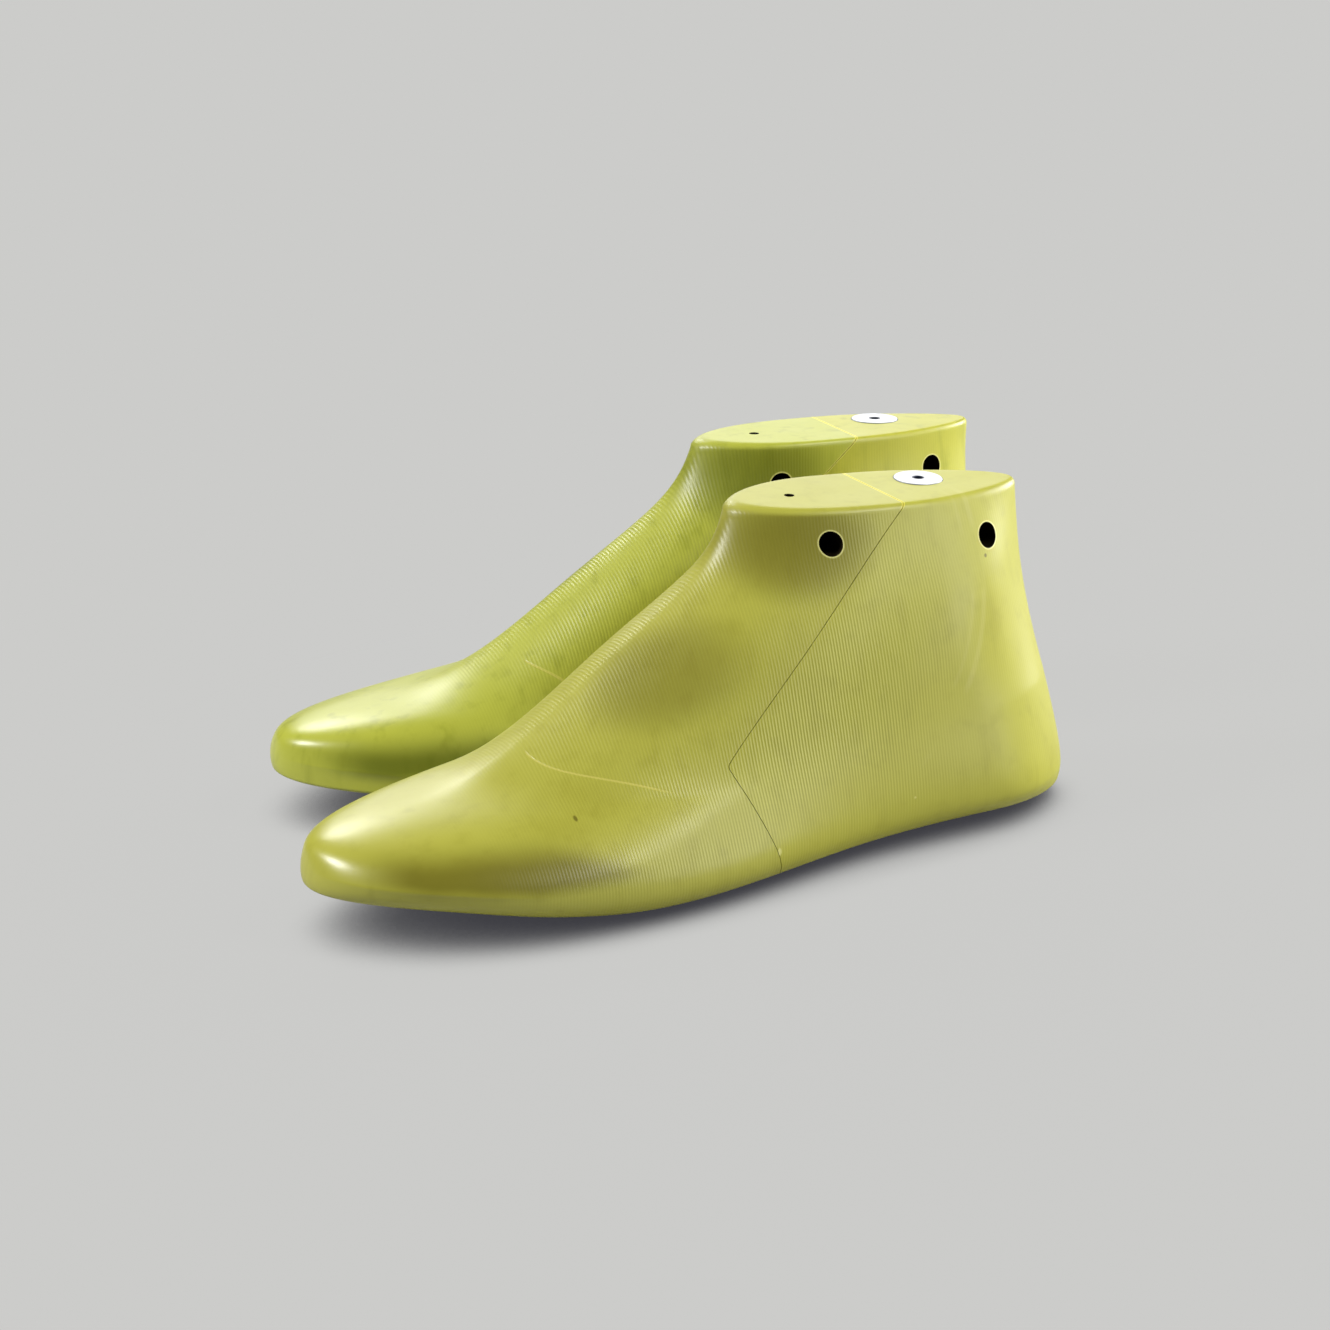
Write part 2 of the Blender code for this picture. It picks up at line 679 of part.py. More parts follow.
loops = body_rings()
lift = -loops[:, :, 2].min()
middle_run = (loops[:, :, 0].min() + loops[:, :, 0].max()) / 2
build_last("left", 1, (middle_run - pair_stagger / 2, -pair_spacing / 2, lift))
build_last("right", -1, (middle_run + pair_stagger / 2, pair_spacing / 2, lift))
print("pair built: lift", round(lift / mm, 3), "mm, hinge pin at", [round(v / mm, 2) for v in pivot])
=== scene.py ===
import json
import math

import bpy
import numpy as np
from mathutils import Matrix, Vector
from mathutils.bvhtree import BVHTree
from mathutils.interpolate import poly_3d_calc

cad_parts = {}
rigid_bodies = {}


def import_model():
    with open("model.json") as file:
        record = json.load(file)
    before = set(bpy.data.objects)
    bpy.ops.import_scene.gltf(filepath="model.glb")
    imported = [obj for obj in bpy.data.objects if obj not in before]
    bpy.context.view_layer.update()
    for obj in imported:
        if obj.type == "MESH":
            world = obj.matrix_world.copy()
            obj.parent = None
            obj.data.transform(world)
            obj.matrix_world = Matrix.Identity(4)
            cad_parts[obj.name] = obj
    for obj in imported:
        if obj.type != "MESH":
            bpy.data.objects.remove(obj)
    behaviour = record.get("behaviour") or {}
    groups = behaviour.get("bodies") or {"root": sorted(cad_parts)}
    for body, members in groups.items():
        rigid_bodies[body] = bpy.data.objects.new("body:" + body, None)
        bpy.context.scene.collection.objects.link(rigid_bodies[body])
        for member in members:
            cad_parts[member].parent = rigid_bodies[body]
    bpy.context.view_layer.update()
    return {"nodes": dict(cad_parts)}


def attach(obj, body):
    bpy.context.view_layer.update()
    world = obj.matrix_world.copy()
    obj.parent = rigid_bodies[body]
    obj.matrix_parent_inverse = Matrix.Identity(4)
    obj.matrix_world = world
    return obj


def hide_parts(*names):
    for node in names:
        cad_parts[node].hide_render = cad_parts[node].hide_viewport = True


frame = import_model()
mm = 0.001

# Shape of one last in mm. Runs go forward from the back of the heel, rises up from the floor.
# Levels go from 0 at the feather line to 1 at the plate, stations from 0 at the heel to 1 at the toe.
lastForm = {
    "length": 275.2, "heelSetIn": 4,
    "plateBack": 11.7, "plateFront": 118.3, "plateBackHeight": 109.99,
    "plateClimb": 7.4, "plateLean": 1.9,
    "stations": (0, 0.12, 0.33, 0.50, 0.66, 0.85, 1),
    "featherHeight": (4.7, 4.1, 4.4, 3.2, 4.3, 13, 17.2),
    "soleCrown": (3.4, 4.5, 2, 2, 4.3, 4, 3),
    "backLevels": (0, 0.25, 0.55, 1),
    "backRun": (4, 3.02, 9.9, 11.7),
    "backRise": (4.7, 19.44, 59.46, 110),
    # The ridge's shares of the way from the plate's front to the toe, as the CAD has them, put in mm.
    "ridgeLevels": (0, 0.1, 0.2, 0.3, 0.4, 0.5, 0.68, 0.84, 1),
    "ridgeRun": (275.2, 275.88, 274.4155, 268.21795, 246.98938, 217.99426, 167.00176, 131.08735, 118.3),
    "ridgeRise": (17.2, 21.8092, 28.4224, 33.71296, 37.5406, 42.42034, 71.5585, 96.07744, 117.4),
    "widthLevels": (0, 0.15, 0.45, 0.75, 0.91, 1),
    "outerHalfWidth": (
        (27, 25, 32, 41.5, 45.5, 41.5, 34),
        (29, 33.5, 37.5, 48, 52.25, 48, 45.5),
        (28.5, 32, 35.5, 38, 41, 37.5, 29.5),
        (16, 25, 28.5, 28, 28.5, 26, 19),
        (14, 18.5, 21, 21.8, 21.6, 20, 17.5),
        (14, 15.5, 18.6, 20, 19.6, 18.8, 17.5),
    ),
    "innerHalfWidth": (
        (28, 29, 25, 35, 45, 43, 39.5),
        (30, 33, 36, 40, 46.5, 41.5, 34.5),
        (27.5, 33, 37, 38, 40, 41, 43.5),
        (25.5, 25.5, 26, 26.5, 26, 32, 33),
        (17, 18.3, 19.8, 20.8, 20.8, 22.3, 20.5),
        (15, 16, 18.4, 20, 20.4, 20, 18),
    ),
    # Shares of the way over which the sides close round the heel and round the toe, by width level.
    "heelClose": (0.13, 0.13, 0.17, 0.32, 0.38, 0.42),
    "frontClose": (0.26, 0.26, 0.5, 0.5, 0.43, 0.38),
    "toeSwing": -4.7, "swingStart": 0.35, "plateShift": 9.2,
    "rimRoundBack": 2, "rimRoundFront": 3.6, "rimGrowth": 6, "featherRound": 3,
    # Heights by which a small rise near the rim and near the feather line is turned into a level.
    "rimHeight": 110, "featherHeightShare": 70,
    # How the plate's lean and its sideways shift fade towards the sole, as powers of the level.
    "leanFade": 4, "shiftFade": 1.5,
    # How far the sole's ends draw in, and the share from which its crown stays flat.
    "soleDraw": 45.5, "crownHeld": 0.85,
    # How near to the middle the innermost loops of sole and plate lie, and the draw of the plate's ends.
    "soleMiddle": 0.97, "plateMiddle": 0.9, "plateDraw": 0.3,
    # Loops and points of the skin. The side's loops crowd a little towards the sole.
    "alongSteps": 150, "levelSteps": 120, "levelCrowding": 1.1,
    "featherSteps": 9, "soleSteps": 26, "rimSteps": 10, "plateSteps": 8,
}
pairPlace = {"spacing": 94.5, "stagger": 22.1, "middleRun": 139.276, "lift": 0.298}
sideHand = {"left": 1, "right": -1}
cutForm = {
    "atPlate": 64.2, "corner": (145.4, 42.3), "cornerRound": 2, "lean": 18.4, "kerf": 0.24,
    "skew": {"left": 9, "right": 2.5},
    "pinHeight": 12, "linkRadius": 6, "linkTilt": 12, "frontPin": 58, "rearPin": 41, "fold": 20,
    "slotWidth": 5.8, "slotPlay": 0.4, "pinRadius": 2.5, "play": 0.35, "pinLow": -24,
    "boreRadius": 3.6, "boreAngle": -12, "boreStart": 4.35, "boreLength": 24,
    # How far the cutting tools reach past the last: sideways, up, down, behind it and ahead of it.
    "across": 90, "above": 160, "below": 30, "behind": -60, "ahead": 330,
    # The sweep of the heel part's foot below the pin, in degrees, and the steps of the round forms.
    "footSweep": 40, "footSteps": 12, "cornerSteps": 10, "endSteps": 24, "tailSteps": 30,
}
holeForm = {
    "radius": 4,
    "frontRun": {"left": 91, "right": 94.4}, "frontBelow": {"left": 11.7, "right": 14.1},
    "rearRun": {"left": 32.4, "right": 34}, "rearBelow": {"left": 14.3, "right": 13.3},
    "gaugeRun": 95.8, "gaugeRadius": 1.75, "gaugeDepth": 7,
    "bushRun": 45, "bushInward": {"left": 14.9, "right": 2.4}, "proud": 0.3, "recessPlay": 0.12,
    "flangeRadius": 8.4, "flangeThickness": 1.2, "shankRadius": 5, "shankLength": 20,
    "boreRadius": 1.5, "boreDepth": 14, "boreTip": 0.8, "boreChamfer": 0.35, "edge": 0.25,
    "overPlate": 5,
}
# Sides of the round forms: small bores, cross holes and the bush's flange.
roundSides = {"small": 48, "plain": 96, "wide": 128}
# A corner closer to the skin than this, in metres, and facing as it does, takes the skin's shading.
skinReach = 3e-5
sameFacing = 0.8


def naturalCurve(knots, values, at):
    # The curve of cubic pieces through the values, bending smoothly and straight at its ends.
    knots, values = np.asarray(knots, float), np.asarray(values, float)
    at = np.clip(np.asarray(at, float), knots[0], knots[-1])
    gap = np.diff(knots)
    wide = gap.reshape((-1,) + (1,) * (values.ndim - 1))
    turn = np.zeros_like(values)
    turn[1:-1] = 6 * np.diff(np.diff(values, axis=0) / wide, axis=0)
    rows = np.diag(np.r_[1, 2 * (gap[:-1] + gap[1:]), 1])
    rows += np.diag(np.r_[gap[:-1], 0], -1) + np.diag(np.r_[0, gap[1:]], 1)
    bend = np.linalg.solve(rows, turn)
    i = np.clip(np.searchsorted(knots, at) - 1, 0, len(knots) - 2)
    shape = at.shape + (1,) * (values.ndim - 1)
    before = ((knots[i + 1] - at) / gap[i]).reshape(shape)
    after = 1 - before
    step = gap[i].reshape(shape)
    curve = (before ** 3 - before) * bend[i] + (after ** 3 - after) * bend[i + 1]
    return before * values[i] + after * values[i + 1] + curve * step ** 2 / 6


def plateRise(run, inward=lastForm["plateShift"]):
    # The plate is flat, climbing towards the front and leaning to the outer side.
    f = lastForm
    slope = f["plateClimb"] / (f["plateFront"] - f["plateBack"])
    lean = math.tan(math.radians(f["plateLean"]))
    return f["plateBackHeight"] + slope * (run - f["plateBack"]) + lean * (inward - f["plateShift"])


def sideLoops(levels):
    # Loops round the last. Run and rise are the patch between four curves (feather line, heel
    # back, ridge and plate): the sum of both blends less the blend of the corners. The width is
    # read from the table and closed at heel and toe as the quarter of an ellipse closes.
    f = lastForm
    along = (1 - np.cos(np.linspace(0, np.pi, f["alongSteps"] + 1))) / 2
    level = np.asarray(levels, float)[:, None]
    footRun = f["heelSetIn"] + along * (f["length"] - f["heelSetIn"])
    topRun = f["plateBack"] + along * (f["plateFront"] - f["plateBack"])
    foot = (footRun, naturalCurve(f["stations"], f["featherHeight"], along))
    top = (topRun, plateRise(topRun))
    back = [naturalCurve(f["backLevels"], f[key], level) for key in ("backRun", "backRise")]
    ridge = [naturalCurve(f["ridgeLevels"], f[key], level) for key in ("ridgeRun", "ridgeRise")]
    patch = []
    for k in range(2):
        blend = (1 - level) * foot[k] + level * top[k] + (1 - along) * back[k] + along * ridge[k]
        low = (1 - along) * foot[k][0] + along * foot[k][-1]
        high = (1 - along) * top[k][0] + along * top[k][-1]
        patch.append(blend - (1 - level) * low - level * high)
    run, rise = patch
    middle = centreLine(run, level)
    sides = []
    for sign, key in ((-1, "outerHalfWidth"), (1, "innerHalfWidth")):
        rows = np.array([naturalCurve(f["stations"], row, along) for row in f[key]])
        width = naturalCurve(f["widthLevels"], rows, level[:, 0])
        heelEnd = np.clip(1 - along / np.interp(level, f["widthLevels"], f["heelClose"]), 0, 1)
        toeEnd = np.clip(1 - (1 - along) / np.interp(level, f["widthLevels"], f["frontClose"]), 0, 1)
        sides.append(middle + sign * width * np.sqrt(1 - heelEnd ** 2) * np.sqrt(1 - toeEnd ** 2))
    lean = math.tan(math.radians(f["plateLean"])) * level ** f["leanFade"]
    rises = [rise + lean * (across - f["plateShift"]) for across in sides]
    both = [(run, run), sides, rises]
    return np.stack([np.concatenate((a, b[:, -2:0:-1]), axis=1) for a, b in both], axis=2)


def loopsAt(levels):
    # Like sideLoops, but each column of a loop has a level of its own.
    fewest, perLevel = 12, 300
    fine = np.linspace(levels.min(), levels.max(), fewest + int(perLevel * np.ptp(levels)))
    loops = sideLoops(fine)
    place = (levels - fine[0]) / (fine[1] - fine[0])
    low = np.clip(place.astype(int), 0, len(fine) - 2)
    share = (place - low)[..., None]
    column = np.arange(loops.shape[1])
    return loops[low, column] * (1 - share) + loops[low + 1, column] * share


def centreLine(run, level):
    # Sideways place of the middle: the toe swings out by the square of its share of the way.
    f = lastForm
    swing = np.clip((run / f["length"] - f["swingStart"]) / (1 - f["swingStart"]), 0, None) ** 2
    share = level ** f["shiftFade"]
    return (1 - share) * f["toeSwing"] * swing + share * f["plateShift"]


def drawnIn(loops, inset):
    # Each loop moved inwards in plan, square to itself.
    ahead = np.roll(loops, -1, axis=1) - np.roll(loops, 1, axis=1)
    inward = np.stack((-ahead[..., 1], ahead[..., 0]), axis=-1)
    inward /= np.maximum(np.linalg.norm(inward, axis=-1, keepdims=True), 1e-9)
    moved = loops.copy()
    moved[..., :2] += np.asarray(inset)[..., None] * inward
    return moved


def featherRise(run):
    # Height of the feather line, where the side meets the sole.
    f = lastForm
    share = (run - f["heelSetIn"]) / (f["length"] - f["heelSetIn"])
    return naturalCurve(f["stations"], f["featherHeight"], share)


def lastLoops():
    # The whole skin of a last as one grid: sole, rounded feather edge, side, rounded rim, plate.
    f = lastForm
    turn = np.radians(np.linspace(90, 0, f["featherSteps"]))[:-1]
    low = f["featherRound"] / f["featherHeightShare"]
    inset = f["featherRound"] * (1 - np.cos(turn))[:, None]
    feather = drawnIn(sideLoops(low * (1 - np.sin(turn))), inset)

    edge = feather[:1]
    share = np.linspace(f["soleMiddle"], 0, f["soleSteps"])[:-1, None]
    middle = (f["heelSetIn"] + f["length"]) / 2
    run = middle + (edge[..., 0] - middle) * (1 - share * f["soleDraw"] / (f["length"] / 2))
    across = (edge[..., 1] - centreLine(edge[..., 0], 0.0)) * (1 - share)
    held = np.minimum(share, f["crownHeld"])
    place = (run - f["heelSetIn"]) / (f["length"] - f["heelSetIn"])
    sag = naturalCurve(f["stations"], f["soleCrown"], place) * (1 - (1 - held) ** 2)
    rise = np.maximum(featherRise(run) - sag, -pairPlace["lift"])
    sole = np.stack((run, centreLine(run, 0.0) + across, rise), axis=2)

    plateRun = sideLoops([1.0])[0, :, 0]
    toFront = np.clip((plateRun - f["plateBack"]) / (f["plateFront"] - f["plateBack"]), 0, 1)
    wider = f["rimRoundFront"] - f["rimRoundBack"]
    radius = f["rimRoundBack"] + wider * toFront ** f["rimGrowth"]
    steps = np.linspace(0, 1, f["levelSteps"])[:, None] ** f["levelCrowding"]
    side = loopsAt(low + (1 - radius / f["rimHeight"] - low) * steps)

    turn = np.radians(np.linspace(0, 90, f["rimSteps"]))[1:, None]
    sink = radius * (1 - np.sin(turn))
    rim = drawnIn(loopsAt(1 - sink / f["rimHeight"]), radius * (1 - np.cos(turn)))
    rim[..., 2] = plateRise(rim[..., 0], rim[..., 1]) - sink

    share = np.linspace(0, f["plateMiddle"], f["plateSteps"])[1:, None]
    top = rim[-1:]
    middle = top[..., 0].mean()
    run = middle + (top[..., 0] - middle) * (1 - share * f["plateDraw"])
    across = f["plateShift"] + (top[..., 1] - f["plateShift"]) * (1 - share)
    plate = np.stack((run, across, plateRise(run, across)), axis=2)
    return np.concatenate((sole, feather, side, rim, plate))


def heelRun(side):
    # Where the back of a last's heel stands, in mm along X.
    return pairPlace["middleRun"] - sideHand[side] * pairPlace["stagger"] / 2


def toWorld(points, side):
    # From run, inward and rise in mm to the pair's frame in metres.
    y = sideHand[side] * (points[..., 1] - pairPlace["spacing"] / 2)
    x, z = heelRun(side) - points[..., 0], points[..., 2] + pairPlace["lift"]
    return np.stack((x, y, z), axis=-1) * mm


def fromWorld(x, y, z, side):
    # Run, inward and rise of places in mm in the pair's frame, as arrays or as signals.
    inward = y * sideHand[side] + pairPlace["spacing"] / 2
    return heelRun(side) - x, inward, z - pairPlace["lift"]


def skewed(points, side):
    # Turned about the upright through the hinge pin's place, as the whole hinge is.
    turn = math.radians(cutForm["skew"][side])
    run = pivot[0] + (points[..., 0] - pivot[0]) * math.cos(turn) + points[..., 1] * math.sin(turn)
    inward = points[..., 1] * math.cos(turn) - (points[..., 0] - pivot[0]) * math.sin(turn)
    return np.stack((run, inward, points[..., 2]), axis=-1)


def meshFrom(name, points, faces):
    mesh = bpy.data.meshes.new(name)
    mesh.from_pydata(points, [], faces)
    mesh.update()
    return mesh


def gridFaces(rows, columns):
    # Four-sided faces between neighbouring loops of a grid that closes on itself.
    i, j = np.meshgrid(np.arange(rows - 1), np.arange(columns), indexing="ij")
    k = (j + 1) % columns
    this, following = i * columns, (i + 1) * columns
    return np.stack((this + j, this + k, following + k, following + j), axis=-1).reshape(-1, 4)


def skinMesh(name, side):
    # The loops joined by four-sided faces, with two strips that close the sole and the plate.
    loops = lastLoops()
    rows, columns = loops.shape[:2]
    faces = gridFaces(rows, columns).tolist()
    j = np.arange(columns // 2)
    for start, flip in ((0, True), ((rows - 1) * columns, False)):
        strip = start + np.stack((j, j + 1, (columns - j - 1) % columns, (columns - j) % columns), axis=1)
        strip = strip[:, ::-1] if flip else strip
        faces += [list(dict.fromkeys(face)) for face in strip.tolist()]
    if side == "left":
        faces = [face[::-1] for face in faces]
    return meshFrom(name, toWorld(loops, side).reshape(-1, 3), faces)


def prismMesh(name, outline, side, low=-cutForm["across"], high=cutForm["across"]):
    # A flat outline of (run, rise) carried across the last, in the plane of the hinge.
    outline = np.asarray(outline, float)
    n = len(outline)
    ends = [np.column_stack((outline[:, 0], np.full(n, across), outline[:, 1])) for across in (low, high)]
    faces = gridFaces(2, n).tolist() + [list(range(n))[::-1], list(range(n, 2 * n))]
    area = np.sum(outline[:, 0] * np.roll(outline[:, 1], -1) - outline[:, 1] * np.roll(outline[:, 0], -1))
    if (area > 0) != (side == "left"):
        faces = [face[::-1] for face in faces]
    return meshFrom(name, toWorld(skewed(np.concatenate(ends), side), side), faces)


def turnedMesh(name, profile, origin, axis, sides):
    # A profile of (radius, height) spun about an axis. Its first and last points lie on the axis.
    profile = np.asarray(profile, float)
    angle = np.linspace(0, 2 * np.pi, sides, endpoint=False)
    ring = np.stack((np.cos(angle), np.sin(angle)), axis=1)
    body = profile[1:-1]
    flat = np.stack((body[:, 0, None] * ring[:, 0], body[:, 0, None] * ring[:, 1],
                     np.repeat(body[:, 1, None], sides, axis=1)), axis=-1).reshape(-1, 3)
    points = np.concatenate((flat, [[0, 0, profile[0, 1]], [0, 0, profile[-1, 1]]]))
    faces = gridFaces(len(body), sides).tolist()
    k = np.arange(sides)
    last = (len(body) - 1) * sides
    faces += np.stack(((k + 1) % sides, k, np.full(sides, len(flat))), axis=1).tolist()
    faces += np.stack((last + k, last + (k + 1) % sides, np.full(sides, len(flat) + 1)), axis=1).tolist()
    z = np.asarray(axis, float) / np.linalg.norm(axis)
    x = np.cross((0, 1, 0), z) if abs(z[1]) < 0.9 else np.cross((1, 0, 0), z)
    x /= np.linalg.norm(x)
    frameAxes = np.stack((x, np.cross(z, x), z))
    return meshFrom(name, points @ frameAxes * mm + np.asarray(origin), faces)


def rod(name, start, end, radius, side, sides=roundSides["plain"], inHinge=False):
    # A round rod between two points given as run, inward and rise.
    ends = np.array((start, end), float)
    a, b = toWorld(skewed(ends, side) if inHinge else ends, side)
    length = np.linalg.norm(b - a) / mm
    return turnedMesh(name, ((0, 0), (radius, 0), (radius, length), (0, length)), a, b - a, sides)


def arcPoints(centre, radius, start, end, steps):
    angle = np.linspace(start, end, steps + 1)
    return np.asarray(centre) + radius * np.stack((np.cos(angle), np.sin(angle)), axis=1)


def pill(start, end, radius):
    # A strip with round ends about two points.
    start, end = np.asarray(start, float), np.asarray(end, float)
    lean = math.atan2(*(end - start)[::-1])
    quarter = math.pi / 2
    steps = cutForm["endSteps"]
    return np.concatenate((arcPoints(end, radius, lean - quarter, lean + quarter, steps),
                           arcPoints(start, radius, lean + quarter, lean + 3 * quarter, steps)))


# Places that the cut, the link and the holes share, seen from the side.
plateCut = np.array((cutForm["atPlate"], plateRise(cutForm["atPlate"])))
cutCorner = np.array(cutForm["corner"])
upperWay = (cutCorner - plateCut) / np.linalg.norm(cutCorner - plateCut)
upperSquare = np.array((-upperWay[1], upperWay[0]))
lowerWay = -np.array((math.sin(math.radians(cutForm["lean"])), math.cos(math.radians(cutForm["lean"]))))
lowerSquare = np.array((-lowerWay[1], lowerWay[0]))
pivot = cutCorner - upperSquare * (cutCorner[1] - cutForm["pinHeight"]) / upperSquare[1]
tilt = math.radians(cutForm["linkTilt"])
linkWay = np.array((math.cos(tilt), math.sin(tilt)))
rearPin, frontPin = (pivot + linkWay * cutForm[key] for key in ("rearPin", "frontPin"))
plateUp = np.array((-lastForm["plateClimb"] / (lastForm["plateFront"] - lastForm["plateBack"]),
                    -math.tan(math.radians(lastForm["plateLean"])), 1))
plateUp /= np.linalg.norm(plateUp)


def crossHole(which, side):
    run = holeForm[which + "Run"][side]
    return np.array((run, plateRise(run) - holeForm[which + "Below"][side]))


def cutFace(offset):
    # The cut from above the plate to the foot of the pin's square onto its lower part.
    c = cutForm
    high = cutCorner - upperWay * (c["above"] - cutCorner[1]) / -upperWay[1]
    bend = math.acos(upperWay @ lowerWay)
    middle = cutCorner - upperWay * c["cornerRound"] * math.tan(bend / 2) - upperSquare * c["cornerRound"]
    start = math.atan2(upperSquare[1], upperSquare[0])
    corner = arcPoints(middle, c["cornerRound"] + offset, start, start - bend, c["cornerSteps"])
    foot = cutCorner + lowerWay * ((pivot - cutCorner) @ lowerWay)
    return np.concatenate(([high + upperSquare * offset], corner, [foot + lowerSquare * offset]))


def closedTo(face, reach):
    # The outline between a cut face and an upright at the run given.
    return np.concatenate((face, [(reach, face[-1][1]), (reach, face[0][1])]))


def sweptSlot():
    # The link's shape, swung down through the fold.
    c = cutForm
    radius, reach = c["linkRadius"] + c["slotPlay"], np.linalg.norm(cutCorner - pivot)
    lowest = tilt - math.radians(c["fold"] + 1)
    tail = arcPoints(pivot, radius, tilt + math.pi / 2, lowest + 3 * math.pi / 2, c["tailSteps"])
    farLow = pivot + np.array((math.cos(lowest), math.sin(lowest))) * reach
    farLow = farLow + radius * np.array((math.sin(lowest), -math.cos(lowest)))
    farHigh = pivot + linkWay * reach + radius * np.array((-math.sin(tilt), math.cos(tilt)))
    return np.concatenate((tail, [farLow, farHigh]))


def keepShading(shaped, skin):
    # Corners that still lie on the skin take its smooth shading, so that the cuts leave no trace.
    skin.shade_smooth()
    tree = BVHTree.FromPolygons([v.co for v in skin.vertices], [p.vertices for p in skin.polygons])
    smooth = [v.normal.copy() for v in skin.vertices]
    places = [v.co.copy() for v in skin.vertices]
    lasting = [n.vector.copy() for n in shaped.corner_normals]
    known = {}
    for face in shaped.polygons:
        for corner in face.loop_indices:
            k = shaped.loops[corner].vertex_index
            if k not in known:
                spot, _, near, away = tree.find_nearest(shaped.vertices[k].co)
                known[k] = None
                if away < skinReach:
                    corners = skin.polygons[near].vertices
                    weights = poly_3d_calc([places[v] for v in corners], spot)
                    square = sum((smooth[v] * w for v, w in zip(corners, weights)), Vector())
                    known[k] = square.normalized()
            if known[k] is not None and known[k].dot(face.normal) > sameFacing:
                lasting[corner] = known[k]
    shaped.normals_split_custom_set(lasting)


def cutOut(name, mesh, tools):
    # Cuts all the tools out of a mesh at once and keeps the result.
    item = bpy.data.objects.new(name, mesh)
    bpy.context.scene.collection.objects.link(item)
    box = bpy.data.collections.new(name + "Tools")
    bpy.context.scene.collection.children.link(box)
    for k, tool in enumerate(tools):
        box.objects.link(bpy.data.objects.new(f"{name}Tool{k}", tool))
    step = item.modifiers.new("cut", "BOOLEAN")
    step.operand_type = "COLLECTION"
    step.collection = box
    step.solver = "EXACT"
    bpy.context.view_layer.update()
    shaped = bpy.data.meshes.new_from_object(item.evaluated_get(bpy.context.evaluated_depsgraph_get()))
    item.modifiers.clear()
    item.data = shaped
    for tool in list(box.objects):
        bpy.data.objects.remove(tool)
    bpy.data.collections.remove(box)
    finishShading(shaped)
    keepShading(shaped, mesh)
    return item


def finishShading(mesh, angle=38):
    mesh.shade_smooth()
    mesh.set_sharp_from_angle(angle=math.radians(angle))


def sidePoint(place, inward):
    return (place[0], inward, place[1])


def throughRod(name, place, radius, side):
    reach = cutForm["across"]
    return rod(name, sidePoint(place, -reach), sidePoint(place, reach), radius, side)


def pinHole(pin, side):
    # Open on the inner side of the last, with a floor near the outer side.
    c = cutForm
    ends = sidePoint(pin, c["pinLow"] - c["play"]), sidePoint(pin, c["across"])
    return rod("pinHole", *ends, c["pinRadius"] + c["play"], side, roundSides["small"], True)


def slotPrism(outline, side):
    half = cutForm["slotWidth"] / 2
    return prismMesh("slot", outline, side, -half, half)


def foreTools(side):
    c, h = cutForm, holeForm
    gauge = np.array((h["gaugeRun"], lastForm["plateShift"], plateRise(h["gaugeRun"])))
    face = cutFace(c["kerf"] / 2)
    behind = np.concatenate((face, [face[-1] + lowerWay * c["below"]]))
    return [
        prismMesh("behind", closedTo(behind, c["behind"]), side),
        slotPrism(pill(pivot, frontPin, c["linkRadius"] + c["slotPlay"]), side),
        throughRod("frontHole", crossHole("front", side), h["radius"], side),
        rod("gauge", gauge + plateUp * h["overPlate"], gauge - plateUp * h["gaugeDepth"],
            h["gaugeRadius"], side, roundSides["small"]),
        pinHole(rearPin, side),
        pinHole(frontPin, side),
    ]


def heelTools(side, plate, seat):
    c, h = cutForm, holeForm
    face = cutFace(-c["kerf"] / 2)
    toFoot = face[-1] - pivot
    start = math.atan2(toFoot[1], toFoot[0])
    end = start - math.radians(c["footSweep"])
    low = arcPoints(pivot, np.linalg.norm(toFoot), start, end, c["footSteps"])[1:]
    ahead = np.concatenate((face, low, [low[-1] + (0, -c["below"])]))
    bore = math.radians(c["boreAngle"])
    boreWay = -np.array((math.cos(bore), math.sin(bore)))
    boreEnds = [sidePoint(pivot + boreWay * c[key], 0) for key in ("boreStart", "boreLength")]
    above = plate + plateUp * h["overPlate"]
    foot = seat - plateUp * (h["shankLength"] + c["play"])
    return [
        prismMesh("ahead", closedTo(ahead, c["ahead"]), side),
        slotPrism(sweptSlot(), side),
        pinHole(pivot, side),
        rod("bore", *boreEnds, c["boreRadius"], side, roundSides["small"], True),
        throughRod("rearHole", crossHole("rear", side), h["radius"], side),
        rod("bush", above, foot, h["shankRadius"] + c["play"], side),
        rod("recess", above, seat - plateUp * c["play"], h["flangeRadius"] + h["recessPlay"],
            side, roundSides["wide"]),
    ]


def makeBush(side, seat):
    # A flange on a shank, with a blind bore that opens with a small chamfer.
    h = holeForm
    top, edge, bore, chamfer = h["flangeThickness"], h["edge"], h["boreRadius"], h["boreChamfer"]
    flange, shank, foot = h["flangeRadius"], h["shankRadius"], -h["shankLength"]
    floor = top - h["boreDepth"]
    profile = [(0, floor), (bore, floor + h["boreTip"]), (bore, top - chamfer), (bore + chamfer, top),
               (flange - edge, top), (flange, top - edge), (flange, 0), (shank, 0),
               (shank, edge + foot), (shank - edge, foot), (0, foot)]
    axis = (-plateUp[0], sideHand[side] * plateUp[1], plateUp[2])
    mesh = turnedMesh("bush", profile[::-1], toWorld(seat, side), axis, roundSides["wide"])
    bush = bpy.data.objects.new(side + "JackBush", mesh)
    bpy.context.scene.collection.objects.link(bush)
    finishShading(mesh, 30)
    return bush


